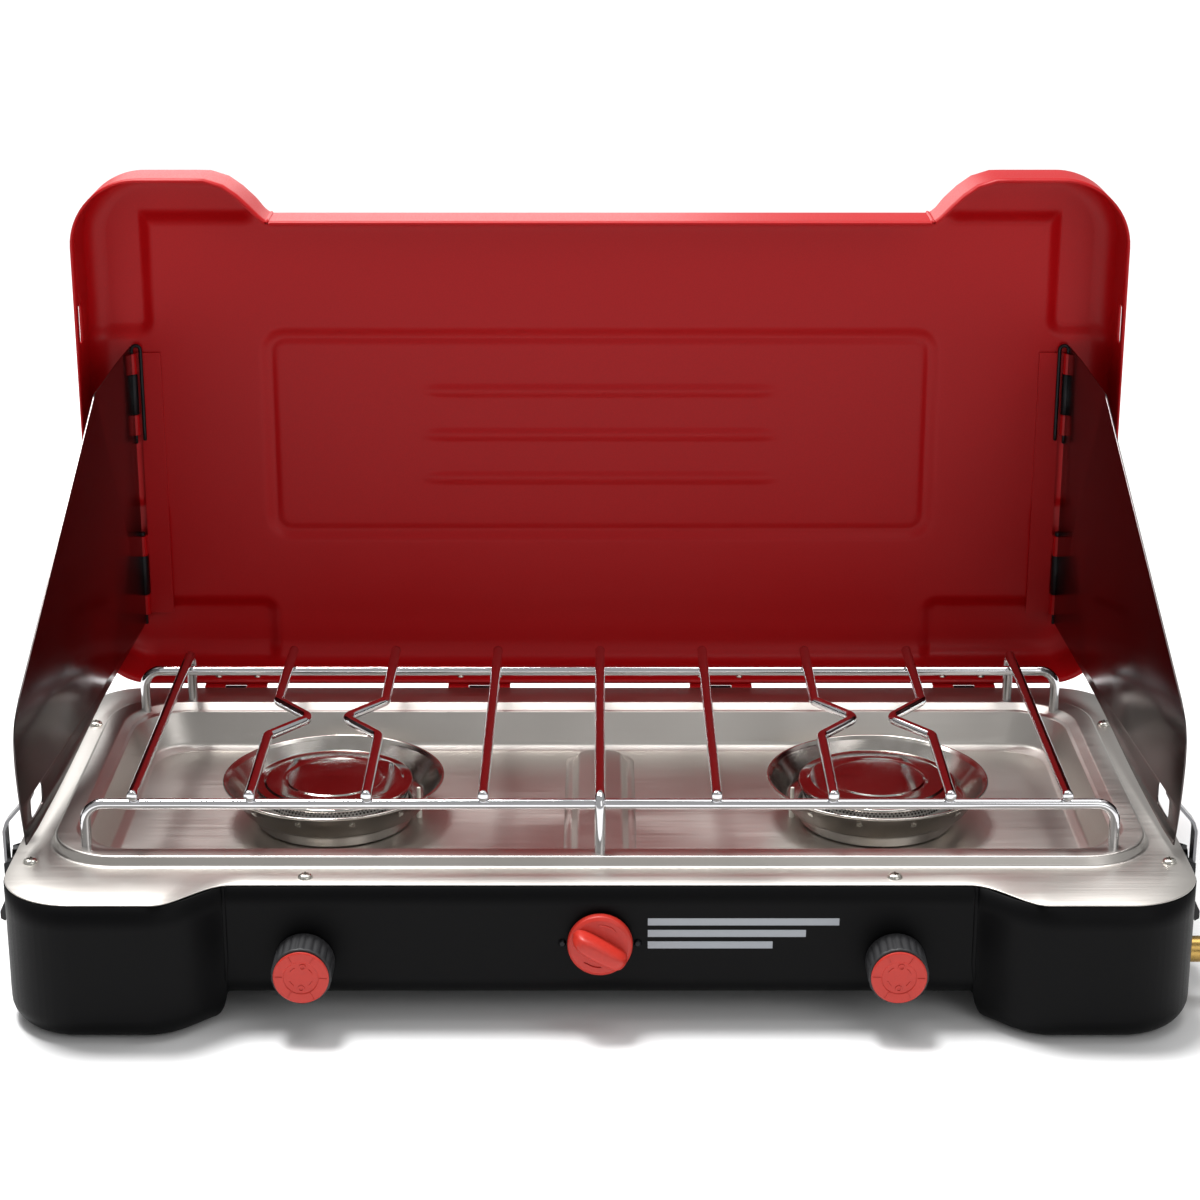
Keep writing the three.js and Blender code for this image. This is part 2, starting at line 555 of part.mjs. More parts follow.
// ---------------------------------------------------------------- lid hinges
const HINGE = { barrel: 2.4, pin: 1.1, bore: 1.35, leaf: 1, third: LID_HINGE_WIDTH / 3 };
LID_HINGE_X.forEach((x, i) => {
  const at = { y: HINGE_Y, z: HINGE_Z };
  const half = LID_HINGE_WIDTH / 2;
  const rear = CASE_REAR + GAP;
  const mid = HINGE.third / 2 - GAP / 2;
  const baseLeaf = join([
    box(x - half, x + half, rear, rear + HINGE.leaf, HINGE_Z - 22, HINGE_Z - HINGE.barrel - 0.4),
    box(x - mid, x + mid, rear, rear + HINGE.leaf, HINGE_Z - 4, HINGE_Z - 1),
    bar('x', x - mid, x + mid, HINGE.barrel, at, 10),
    bar('x', x - half, x + half, HINGE.pin, at, 8),
  ]);
  add(`hinge_leaf_base_${i + 1}`, baseLeaf, MATERIAL.hardware);
  const wallZ = HINGE_Z + HINGE_Y - CASE_REAR - GAP;
  const ends = SIDES.map((side) => {
    const [a, b] = [x + side * (mid + GAP), x + side * half].sort((p, q) => p - q);
    return bar('x', a, b, HINGE.barrel, at, 10)
      .add(box(a, b, HINGE_Y + 1.5, HINGE_Y + 4, wallZ - HINGE.leaf, wallZ));
  });
  const lidLeaf = join([
    box(x - half, x + half, HINGE_Y + HINGE.barrel + GAP, HINGE_Y + 22, wallZ - HINGE.leaf, wallZ), ...ends,
  ]).subtract(bar('x', x - half - 1, x + half + 1, HINGE.bore, at, 8));
  add(`hinge_leaf_lid_${i + 1}`, lidLeaf, MATERIAL.hardware);
});

// ---------------------------------------------------------------- windscreens and their hinges
const PANEL_INSIDE_Y = HINGE_Y + PANEL_Z - SHEET - HINGE_Z;    // the open lid's panel, seen from inside
const LEAF_Y = PANEL_INSIDE_Y - GAP;
// Plate outline: distance forward of the hinge axis, and height.
const SCREEN_FRONT = new THREE.SplineCurve([[309, SCREEN_BOTTOM], [315, 113], [319, 142], [315, 161],
  [302, 173]].map(([u, z]) => new THREE.Vector2(u, z)));
const SCREEN_OUTLINE = [...SCREEN_FRONT.getPoints(8).map((p) => [p.x, p.y]),
  [104, 289], [96, 292], [34, 296], [2.2, 297],
  [2.2, 113], [15, 111], [120, 105.5], [220, 94], [285, SCREEN_BOTTOM]];
const SCREEN_SLOT = { from: 270, to: 297, low: 97, high: 113 };
const SPLAY_SLOPE = Math.tan(THREE.MathUtils.degToRad(SCREEN_SPLAY));
const screenX = (y) => SCREEN_PIVOT.x + (SCREEN_PIVOT.y - y) * SPLAY_SLOPE;

for (const side of SIDES) {
  const name = sideName(side);
  const flip = (x0, x1) => [side * x0, side * x1].sort((a, b) => a - b);
  const at = { x: side * SCREEN_PIVOT.x, y: SCREEN_PIVOT.y };
  const outline = SCREEN_OUTLINE.map(([u, z]) => [-u, z]).reverse();
  const slot = box(-5, 5, -SCREEN_SLOT.to, -SCREEN_SLOT.from, SCREEN_SLOT.low, SCREEN_SLOT.high);
  const plate = extrude(outline, SCREEN_SHEET, 'yz', -SCREEN_SHEET / 2).subtract(slot)
    .rotate([0, 0, side * SCREEN_SPLAY]).translate([at.x, at.y, 0]);
  const span = KNUCKLE.middle / 2 - GAP / 2;
  const reach = KNUCKLE.middle / 2 + KNUCKLE.end;
  const round = (z0, z1, radius, sides) => bar('z', z0, z1, radius, at, sides);
  // The end knuckles' heights are kept clear of the plate.
  const notches = SCREEN_HINGE_Z.flatMap((z) => SIDES.map((end) => {
    const [a, b] = [z + end * span, z + end * (reach + GAP)].sort((p, q) => p - q);
    return round(a, b, KNUCKLE.radius + 0.5, 10);
  }));
  const knuckles = SCREEN_HINGE_Z.map((z) => round(z - span, z + span, KNUCKLE.radius, 10));
  const bores = SCREEN_HINGE_Z.map((z) => round(z - 40, z + 40, KNUCKLE.bore, 8));
  const clip = box(...flip(SCREEN_PIVOT.x - 9, SCREEN_PIVOT.x + 1.6), at.y - 2, at.y + 2,
    SCREEN_HINGE_Z[1] + reach, SCREEN_HINGE_Z[1] + reach + 12);
  add(`windscreen_${name}`,
    plate.subtract(join([...notches, clip])).add(join(knuckles)).subtract(join(bores)), MATERIAL.screen);

  const [low, high] = [SCREEN_HINGE_Z[0] - reach, SCREEN_HINGE_Z[1] + reach];
  const strip = box(...flip(SCREEN_PIVOT.x - 18, SCREEN_PIVOT.x - 3.5), LEAF_Y - 1.2, LEAF_Y, low, high);
  const lugs = SCREEN_HINGE_Z.flatMap((z) => SIDES.map((end) => {
    const [a, b] = [z + end * (KNUCKLE.middle / 2 + GAP / 2), z + end * reach].sort((p, q) => p - q);
    return round(a, b, KNUCKLE.radius, 10)
      .add(box(...flip(SCREEN_PIVOT.x - 5, SCREEN_PIVOT.x), LEAF_Y - 1.2, LEAF_Y, a, b));
  }));
  add(`windscreen_bracket_${name}`, join([strip, ...lugs]).subtract(join(bores)), MATERIAL.red);

  const pinR = KNUCKLE.bore - 0.3;
  const [lower, upper] = SCREEN_HINGE_Z;
  add(`windscreen_pin_lower_${name}`, join([
    round(lower - reach - 7, lower + reach + 1, pinR, 8),
    round(lower + reach + GAP, lower + reach + 2.6, 2.2, 10),
  ]), MATERIAL.hardware);
  const inX = side * (SCREEN_PIVOT.x - 5.6);
  const hairpin = bent([[at.x, at.y, upper - reach - 6], [at.x, at.y, upper + reach + 5],
    [inX, at.y, upper + reach + 5], [inX, at.y, upper - reach - 4]], 2.7, 3);
  add(`windscreen_pin_upper_${name}`, tube(hairpin, pinR, 8), MATERIAL.hardware);
}

// ---------------------------------------------------------------- latches on the case's sides
// A strap of even thickness along a line of [x, z] points, as a closed outline.
function band(line, thickness) {
  const points = line.map(([x, z]) => new THREE.Vector2(x, z));
  const offset = (sign) => points.map((p, i) => {
    const before = i ? p.clone().sub(points[i - 1]).normalize() : null;
    const after = i < points.length - 1 ? points[i + 1].clone().sub(p).normalize() : null;
    const along = (before ?? after).clone().add(after ?? before).normalize();
    const lean = along.dot(after ?? before);
    const normal = new THREE.Vector2(-along.y, along.x).multiplyScalar((sign * thickness) / 2 / lean);
    return [p.x + normal.x, p.y + normal.y];
  });
  return [...offset(1), ...offset(-1).reverse()];
}
const sided = (side, points) => points.map(([x, z]) => [side * x, z]);
// An outline in XZ, mirrored to one side and extruded about the latch's middle.
function latchExtrude(side, points, halfWidth) {
  const outline = sided(side, points);
  const area = THREE.ShapeUtils.area(outline.map(([x, z]) => new THREE.Vector2(x, z)));
  return extrude(area > 0 ? outline : outline.reverse(), 2 * halfWidth, 'xz', 0, LATCH_Y + halfWidth);
}
// Half widths along Y, and radii. The pins turn in bores a little larger.
const LATCH = { plateHalf: 13, plateLow: 38, plateHigh: 76, sheet: 1.2, ear: 0.6, earAt: 12.4,
  pin: 1.4, bore: 1.7, leverHalf: 11.4, channelHalf: 5.6, strapHalf: 5, strap: 1.6, eye: 2.6 };
for (const side of SIDES) {
  const name = sideName(side);
  const flip = (x0, x1) => [side * x0, side * x1].sort((a, b) => a - b);
  const across = (half, radius, at, sides) => bar('y', LATCH_Y - half, LATCH_Y + half, radius, at, sides);
  const wall = CASE_WIDTH / 2 + GAP;
  const pivot = { x: side * LATCH_PIVOT.x, z: LATCH_PIVOT.z };
  const ear = [[wall, 60], [LATCH_PIVOT.x + 3, 62], [LATCH_PIVOT.x + 3, 71], [wall, 74]];
  const ears = SIDES.map((end) => latchExtrude(side, ear, LATCH.ear).translate([0, end * LATCH.earAt, 0]));
  const backPlate = box(...flip(wall, wall + LATCH.sheet), LATCH_Y - LATCH.plateHalf,
    LATCH_Y + LATCH.plateHalf, LATCH.plateLow, LATCH.plateHigh);
  add(`latch_plate_${name}`, join([
    backPlate, ...ears, across(LATCH.earAt + 0.2, LATCH.pin, pivot, 10),
  ]), MATERIAL.hardware);

  const lever = [[328.2, 71.5], [333, 71.5], [334.2, 62], [334.2, 50], [338.5, 41], [338.5, 36.5],
    [336, 35], [331, 42], [328.2, 52]];
  const hookPivot = { x: pivot.x, z: HOOK_PIVOT_Z };
  const channel = box(...flip(326, 342), LATCH_Y - LATCH.channelHalf, LATCH_Y + LATCH.channelHalf, 53, 74);
  const leverBores = [pivot, hookPivot].map((at) => across(LATCH.plateHalf + 1, LATCH.bore, at, 10));
  add(`latch_lever_${name}`,
    latchExtrude(side, lever, LATCH.leverHalf).subtract(join([channel, ...leverBores])), MATERIAL.grip);

  const tip = screenX(LATCH_Y) + 2.4;
  const strap = band([[tip, 106.6], [tip + 1.8, 107], [333, 92], [334.6, 87], [334.6, 64],
    [LATCH_PIVOT.x, HOOK_PIVOT_Z]], LATCH.strap);
  add(`latch_hook_${name}`, join([
    latchExtrude(side, strap, LATCH.strapHalf),
    across(LATCH.strapHalf, LATCH.eye, hookPivot, 12),
    across(LATCH.leverHalf - 0.2, LATCH.pin, hookPivot, 10),
  ]), MATERIAL.hardware);
}

// The origin is the middle of the whole stove's plan, on the ground.
stove.updateMatrixWorld(true);
const overall = new THREE.Box3().setFromObject(stove, true);
stove.position.set(
  -(overall.min.x + overall.max.x) / 2, -(overall.min.y + overall.max.y) / 2, -overall.min.z);
stove.updateMatrixWorld(true);

export default stove;
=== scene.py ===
"""A two-burner folding camping stove, lid open: pressed and painted case and lid, a steel drip tray,
a chromed wire grate, two burners, windscreens and side latches."""
import math

import bmesh
import bpy
import numpy as np
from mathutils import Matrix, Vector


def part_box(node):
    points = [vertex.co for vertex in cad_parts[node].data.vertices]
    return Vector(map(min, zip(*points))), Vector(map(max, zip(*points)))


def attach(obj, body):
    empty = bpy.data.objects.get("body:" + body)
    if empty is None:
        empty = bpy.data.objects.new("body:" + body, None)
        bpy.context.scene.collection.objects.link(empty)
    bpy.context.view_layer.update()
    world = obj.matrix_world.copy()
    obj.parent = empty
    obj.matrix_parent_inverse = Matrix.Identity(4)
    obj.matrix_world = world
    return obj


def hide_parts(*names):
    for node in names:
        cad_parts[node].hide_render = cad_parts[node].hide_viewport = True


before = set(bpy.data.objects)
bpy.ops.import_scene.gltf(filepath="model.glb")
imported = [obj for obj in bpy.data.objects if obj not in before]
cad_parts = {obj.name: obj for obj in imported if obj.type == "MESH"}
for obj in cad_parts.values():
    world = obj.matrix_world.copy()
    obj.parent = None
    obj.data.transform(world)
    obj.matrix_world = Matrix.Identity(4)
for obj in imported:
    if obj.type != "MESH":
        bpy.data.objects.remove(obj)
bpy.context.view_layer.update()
scene = bpy.context.scene

# ---------------------------------------------------------------- studio
# A pale floor under soft lamps. The camera stands in front of the stove, a little above the lid,
# and looks down at it.
CAMERA_PLACE = (0, -1.5073, 0.7064)
CAMERA_DOWN = 18.96          # degrees below level

camera = bpy.data.objects.new("camera", bpy.data.cameras.new("camera"))
scene.collection.objects.link(camera)
camera.location = CAMERA_PLACE
camera.rotation_euler = (math.radians(90 - CAMERA_DOWN), 0, 0)
camera.data.sensor_width = 36
camera.data.lens = 81.7
scene.camera = camera


def srgb(code):
    """A hex colour code as linear red, green, blue and alpha."""
    channels = [int(code[i:i + 2], 16) / 255 for i in (0, 2, 4)]
    return [c / 12.92 if c <= 0.04045 else ((c + 0.055) / 1.055) ** 2.4 for c in channels] + [1]


def lamp(name, place, target, size, power, colour="ffffff"):
    """A square soft lamp at a place, turned towards a target."""
    data = bpy.data.lights.new(name, "AREA")
    data.size, data.energy, data.color = size, power, srgb(colour)[:3]
    lit = bpy.data.objects.new(name, data)
    scene.collection.objects.link(lit)
    lit.location = place
    aim = np.array(target, float) - np.array(place, float)
    flat = math.hypot(aim[0], aim[1])
    lit.rotation_euler = (math.atan2(flat, -aim[2]), 0, math.atan2(aim[1], aim[0]) - math.pi / 2)


lamp("key_lamp", (-0.7, 0.35, 1.6), (0, 0, 0.1), 0.7, 15)
lamp("top_lamp", (0.5, 0.1, 1.9), (0, 0, 0.1), 0.9, 8)
lamp("front_lamp", (1.1, -1.7, 1.2), (0, 0, 0.15), 1.2, 6)
lamp("back_lamp", (-0.3, 1.6, 0.9), (0, 0.1, 0.25), 0.9, 5)

# A broad overhead light, tipped from behind, that leaves the lid's inside in shade.
overhead = bpy.data.objects.new("overhead_light", bpy.data.lights.new("overhead_light", "SUN"))
overhead.data.energy, overhead.data.angle = 2.6, math.radians(14)
overhead.rotation_euler = (math.radians(-12), math.radians(-9), 0)
scene.collection.objects.link(overhead)

world = bpy.data.worlds.new("studio")
scene.world = world
world.use_nodes = True
world.node_tree.nodes["Background"].inputs["Color"].default_value = srgb("f4f4f4")
world.node_tree.nodes["Background"].inputs["Strength"].default_value = 0.46
scene.view_settings.view_transform = "Standard"

floor_mesh = bpy.data.meshes.new("floor")
floor_mesh.from_pydata([(-12, -12, 0), (12, -12, 0), (12, 12, 0), (-12, 12, 0)], [], [(0, 1, 2, 3)])
floor = bpy.data.objects.new("floor", floor_mesh)
scene.collection.objects.link(floor)


def surface(name, **values):
    """A new material with its Principled shader's plain sockets set. Returns it, its tree and the shader."""
    made = bpy.data.materials.new(name)
    made.use_nodes = True
    shader = made.node_tree.nodes["Principled BSDF"]
    for socket, value in values.items():
        shader.inputs[socket.replace("_", " ")].default_value = value
    return made, made.node_tree, shader


# Matt pale paint, so that the floor takes soft shadows and gives no glare.
floor_paint, _, _ = surface("pale_studio_floor", Base_Color=srgb("f2f2f2"), Roughness=0.7)
floor_mesh.materials.append(floor_paint)

# ---------------------------------------------------------------- case
# One deep steel pressing with a recessed middle and two broad feet, powder coated satin black.
# Its wall is one closed curve in plan, and its floor a grid pressed to a height.
MM = 0.001
CASE = {"half": 325, "front": -165.7, "rear": 161, "radius": 42, "rear_radius": 34, "ear": 26,
        "flat_end": 240, "turn_end": 200, "rim": 81.2, "belly": 13.5, "edge": 14, "sheet": 1.4}
FOOT_INNER = 205
# Sizes are in millimetres about the middle of the case's plan. The frame says where that is.
case_low, case_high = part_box("base_shell")
PLAN_Y = (case_low.y + case_high.y) / 2 / MM - (CASE["front"] + CASE["rear"]) / 2


def arc_points(cx, cy, radius, start, end, steps=20):
    """Points of a circle's arc between two angles in degrees."""
    a = np.radians(np.linspace(start, end, steps + 1))
    return np.stack([cx + radius * np.cos(a), cy + radius * np.sin(a)], -1)


def front_edge(inset=0.0):
    """The front of the plan from left to right: a corner arc, a flat ear, a cosine turn, the recessed
    middle, and the same mirrored."""
    half, front = CASE["half"] - inset, CASE["front"] + inset
    radius = CASE["radius"] - inset
    corner = arc_points(-half + radius, front + radius, radius, 180, 270, 40)
    t = np.linspace(0, 1, 33)
    turn_x = -(CASE["flat_end"] + 0.3 * inset) + (CASE["flat_end"] - CASE["turn_end"]) * t
    turn = np.stack([turn_x, front + CASE["ear"] * (1 - np.cos(np.pi * t)) / 2], -1)
    left = np.concatenate([corner, turn])
    return np.concatenate([left, (left * (-1, 1))[::-1]])


def rear_edge(inset=0.0):
    """The rear of the plan from left to right."""
    half, rear, radius = CASE["half"] - inset, CASE["rear"] - inset, CASE["rear_radius"] - inset
    left = arc_points(-half + radius, rear - radius, radius, 180, 90, 40)
    return np.concatenate([left, (left * (-1, 1))[::-1]])


def grid_faces(rows, columns, wrap=False):
    """Quads of a grid of points, joined round from the last column to the first if wrap is set."""
    r, c = np.meshgrid(np.arange(rows - 1), np.arange(columns if wrap else columns - 1), indexing="ij")
    a, b = r * columns + c, r * columns + (c + 1) % columns
    return np.stack([a, b, b + columns, a + columns], -1).reshape(-1, 4)


def mesh_piece(name, parts, body, material, out=None, sharp=35):
    """A piece from (points in millimetres, faces) parts. Doubles are merged and faces turned outward:
    away from the inside on a closed piece, or on average along out on an open sheet."""
    points, faces, start = [], [], 0
    for some_points, some_faces in parts:
        some_points = np.asarray(some_points, float).reshape(-1, 3)
        points.append(some_points)
        faces += [[start + i for i in face] for face in np.asarray(some_faces, object).tolist()]
        start += len(some_points)
    placed = (np.concatenate(points) + (0, PLAN_Y, 0)) * MM
    mesh = bpy.data.meshes.new(name)
    mesh.from_pydata(placed.tolist(), [], faces)
    form = bmesh.new()
    form.from_mesh(mesh)
    bmesh.ops.remove_doubles(form, verts=form.verts, dist=2e-6)
    bmesh.ops.dissolve_degenerate(form, edges=form.edges, dist=1e-7)
    bmesh.ops.recalc_face_normals(form, faces=form.faces)
    if out is not None:
        total = sum((f.normal.dot(out) * f.calc_area() for f in form.faces))
        if total < 0:
            bmesh.ops.reverse_faces(form, faces=form.faces)
    form.to_mesh(mesh)
    form.free()
    mesh.shade_smooth()
    mesh.set_sharp_from_angle(angle=math.radians(sharp))
    mesh.materials.append(material)
    made = bpy.data.objects.new(name, mesh)
    scene.collection.objects.link(made)
    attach(made, body)
    return made


def thicken(piece, millimetres):
    """Gives an open sheet its thickness, behind its outer face."""
    solid = piece.modifiers.new("sheet", "SOLIDIFY")
    solid.thickness, solid.offset, solid.use_quality_normals = millimetres * MM, -1, True
    return piece


def fine_lines(low, high, step, places, reach=9, fine=1.3):
    """Grid lines a step apart, and closer together around the given places."""
    lines = [np.arange(low, high, step), [high]]
    lines += [np.arange(p - reach, p + reach + fine / 2, fine) for p in places]
    lines = np.sort(np.concatenate(lines))
    lines = lines[(lines >= low) & (lines <= high)]
    keep = [0]
    for i in range(1, len(lines)):
        if lines[i] - lines[keep[-1]] > 0.55 * fine or i == len(lines) - 1:
            keep.append(i)
    return lines[keep]


def pressing(height, x_places, y_places, edge, rim, gap=None):
    """A pressed sheet over the case's plan. Its face is a grid at height(x, y) inside the plan drawn in by
    edge; from the face's border a quarter circle of radius edge rolls over to the wall, which runs to rim.
    gap(x, y, z) is true on wall faces that are left open. Heights grow away from the rim."""
    fore, aft = front_edge(edge), rear_edge(edge)
    half = CASE["half"] - edge
    ends = np.concatenate([fore[:41:3, 0], aft[:41:3, 0]])
    x = np.unique(np.round(np.concatenate([
        ends, -ends, fine_lines(-half + 20, half - 20, 6, x_places), [-half, half]]), 4))
    y_low, y_high = np.interp(x, fore[:, 0], fore[:, 1]), np.interp(x, aft[:, 0], aft[:, 1])
    y = fine_lines(CASE["front"] + edge, CASE["rear"] - edge, 6, y_places)
    face_x = np.repeat(x[:, None], len(y), 1)
    face_y = np.repeat(y[None, :], len(x), 0)
    # A line that comes within a millimetre of the border is drawn onto it, which leaves no slivers.
    face_y = np.where(face_y < y_low[:, None] + 1, y_low[:, None], face_y)
    face_y = np.where(face_y > y_high[:, None] - 1, y_high[:, None], face_y)
    up = 1 if height(np.zeros(1), np.zeros(1))[0] > rim else -1
    face = np.stack([face_x, face_y, height(face_x, face_y)], -1)
    inner = (y > y_low[-1] + 1) & (y < y_high[-1] - 1)

    def bearing(line):
        """The outward direction along an edge, as an angle, from the slope of its dense points."""
        d = np.gradient(line, axis=0)
        return np.unwrap(np.arctan2(d[:, 1], d[:, 0]))

    fore_turn = np.interp(x, fore[:, 0], bearing(fore)) - np.pi / 2
    aft_turn = np.interp(x, aft[:, 0], bearing(aft)) + np.pi / 2
    side = np.zeros(inner.sum())
    loop = np.concatenate([
        np.stack([x, y_low, fore_turn], -1), np.stack([side + half, y[inner], side], -1),
        np.stack([x, y_high, aft_turn], -1)[::-1], np.stack([side - half, y[inner], side + np.pi], -1)[::-1]])
    outward = np.stack([np.cos(loop[:, 2]), np.sin(loop[:, 2])], -1)
    top = height(loop[:, 0], loop[:, 1])
    rings = []
    for a in np.radians(np.linspace(0, 90, 9)):
        spot = loop[:, :2] + outward * edge * math.sin(a)
        rings.append(np.column_stack([spot, top - up * edge * (1 - math.cos(a))]))
    wall_top = rings[-1][:, 2]
    for share in (0.18, 0.36, 0.55, 0.78, 1):
        rings.append(np.column_stack([rings[8][:, :2], wall_top + (rim - wall_top) * share]))
    rings = np.array(rings)
    faces = grid_faces(len(rings), len(loop), wrap=True)
    if gap is not None:
        centre = rings.reshape(-1, 3)[faces].mean(1)
        faces = faces[~gap(*centre.T)]
    return [(face, grid_faces(len(x), len(y))), (rings, faces)]


def step(value, at, width):
    """A smooth rise from 0 to 1 around a place."""
    t = np.clip((value - at) / width + 0.5, 0, 1)
    return t * t * (3 - 2 * t)


def case_height(x, y):
    """The belly's level, down to the ground under the feet at both ends."""
    return CASE["belly"] * (1 - step(np.abs(x), FOOT_INNER + 5, 12)) + 0 * y


def node(tree, kind, inputs=(), **settings):
    """Adds one shader node. inputs maps a socket's name or number to a value or to another socket."""
    made = tree.nodes.new(kind)
    for key, value in settings.items():
        setattr(made, key, value)
    for socket, value in dict(inputs).items():
        if isinstance(value, bpy.types.NodeSocket):
            tree.links.new(value, made.inputs[socket])
        else:
            made.inputs[socket].default_value = value
    return made


def grained(tree, shader, scale, low, high, bump=0.0, height=0.0001, detail=3, stretch=(1, 1, 1),
            colours=None):
    """Noise on Object coordinates drives roughness from low to high and, if they are given, a fine
    relief and a base colour between two hex codes. scale is in features a metre; stretch multiplies
    it on each axis."""
    place = node(tree, "ShaderNodeTexCoord").outputs["Object"]
    turned = node(tree, "ShaderNodeMapping", {"Vector": place, "Scale": stretch}).outputs["Vector"]
    noise = node(tree, "ShaderNodeTexNoise", {"Vector": turned, "Scale": scale, "Detail": detail})
    grain = noise.outputs["Fac"]
    spread = node(tree, "ShaderNodeMapRange", {"Value": grain, "From Min": 0.3, "From Max": 0.7,
                                                "To Min": low, "To Max": high})
    tree.links.new(spread.outputs["Result"], shader.inputs["Roughness"])
    if bump:
        relief = node(tree, "ShaderNodeBump", {"Height": grain, "Strength": bump, "Distance": height})
        tree.links.new(relief.outputs["Normal"], shader.inputs["Normal"])
    if colours:
        dark, light = (srgb(code) for code in colours)
        blend = node(tree, "ShaderNodeMix", {"Factor": grain, "A": dark, "B": light}, data_type="RGBA")
        tree.links.new(blend.outputs["Result"], shader.inputs["Base Color"])


# Powder coat over steel: low sheen, with a fine orange-peel relief of about half a millimetre.
case_paint, tree, shader = surface("satin_black_powder_coat", Base_Color=srgb("060607"),
                                   Specular_IOR_Level=0.09)
grained(tree, shader, 1500, 0.4, 0.52, bump=0.12, height=0.00006)

case = mesh_piece("case_shell", pressing(case_height, [-211, 211, -220, 220], [], CASE["edge"], CASE["rim"]),
                  "base", case_paint, out=(0, 0, -1))
thicken(case, CASE["sheet"])
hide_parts("base_shell")

# The print on the front is three plain stripes in grey ink: flat, a little shinier than the coat.
ink, _, _ = surface("grey_screen_print", Base_Color=srgb("9a9ea4"), Roughness=0.55)
FRONT_Y = CASE["front"] + CASE["ear"]
STRIPES = [(26, 130, 60.5, 4.2), (26, 112, 53.6, 4.2), (26, 94, 46.7, 4.2)]     # ends, height, width
# The six sides of a box whose corners are counted by x, then y, then z.
BOX_FACES = [(0, 1, 3, 2), (4, 6, 7, 5), (0, 4, 5, 1), (2, 3, 7, 6), (0, 2, 6, 4), (1, 5, 7, 3)]


def bar_form(x0, x1, y0, y1, z0, z1):
    """A plain box between two corners, as a part for mesh_piece."""
    corners = np.array([(x, y, z) for x in (x0, x1) for y in (y0, y1) for z in (z0, z1)], float)
    return corners, BOX_FACES


stripes = [bar_form(x0, x1, FRONT_Y - 0.12, FRONT_Y + 0.2, z - thick / 2, z + thick / 2)
           for x0, x1, z, thick in STRIPES]
mesh_piece("front_stripes", stripes, "base", ink)

# ---------------------------------------------------------------- drip tray
# A stainless pressing that closes the case: a flat flange, a raised ring that holds the grate's feet,
# and a pan with sloping sides. Each level is a closed curve, sampled at the same bearings.
TRAY = {"deck": 82.5, "ring": 88, "pan": 62, "half": 307, "front": -116.4, "rear": 133, "sheet": 1}
TRAY_MIDDLE = (TRAY["front"] + TRAY["rear"]) / 2
RIB = {"half": 15, "front": -84, "rear": 92, "radius": 9, "height": 6}


def rounded_rect(x0, x1, y0, y1, radius, steps=24):
    """A closed rounded rectangle."""
    return np.concatenate([
        arc_points(x0 + radius, y0 + radius, radius, 180, 270, steps),
        arc_points(x1 - radius, y0 + radius, radius, 270, 360, steps),
        arc_points(x1 - radius, y1 - radius, radius, 0, 90, steps),
        arc_points(x0 + radius, y1 - radius, radius, 90, 180, steps)])


def tray_loop(half, front, rear, radius, rear_radius, front_line=None, steps=16):
    """A closed loop of arcs and runs with the same count of points at any size, so that loops can be
    joined into rings. A front line (x, y) gives the front run's shape in place of a straight one."""
    share = np.linspace(-1, 1, 162)[1:-1]
    run_x = share * (half - radius)
    run_y = np.full_like(share, front) if front_line is None else np.interp(run_x, *front_line.T)
    side = np.linspace(0, 1, 42)[1:-1]
    side_y = front + radius + side * (rear - rear_radius - front - radius)
    back_x = np.linspace(1, -1, 102)[1:-1] * (half - rear_radius)
    return np.concatenate([
        arc_points(-half + radius, front + radius, radius, 180, 270, steps), np.stack([run_x, run_y], -1),
        arc_points(half - radius, front + radius, radius, 270, 360, steps),
        np.stack([np.full_like(side, half), side_y], -1),
        arc_points(half - rear_radius, rear - rear_radius, rear_radius, 0, 90, steps),
        np.stack([back_x, np.full_like(back_x, rear)], -1),
        arc_points(-half + rear_radius, rear - rear_radius, rear_radius, 90, 180, steps),
        np.stack([np.full_like(side, -half), side_y[::-1]], -1)])


def filleted(corners, radii, steps=6):
    """A path of straight runs through corner points, each inner corner rounded by its radius."""
    corners = [np.array(c, float) for c in corners]
    radii = [radii] * len(corners) if np.isscalar(radii) else radii
    path = [corners[0]]
    for i in range(1, len(corners) - 1):
        back, ahead = corners[i - 1] - corners[i], corners[i + 1] - corners[i]
        back, ahead = back / np.linalg.norm(back), ahead / np.linalg.norm(ahead)
        half = math.acos(np.clip(back @ ahead, -1, 1)) / 2
        if half > math.pi / 2 - 0.01:
            path.append(corners[i])
            continue
        middle = (back + ahead) / np.linalg.norm(back + ahead) * radii[i] / math.sin(half)
        start = back * radii[i] / math.tan(half) - middle
        end = ahead * radii[i] / math.tan(half) - middle
        sweep = math.acos(np.clip(start @ end / radii[i] ** 2, -1, 1))
        for share in np.linspace(0, 1, steps + 1):
            a = math.sin((1 - share) * sweep) / math.sin(sweep)
            b = math.sin(share * sweep) / math.sin(sweep)
            path.append(corners[i] + middle + start * a + end * b)
    path.append(corners[-1])
    return np.array(path)


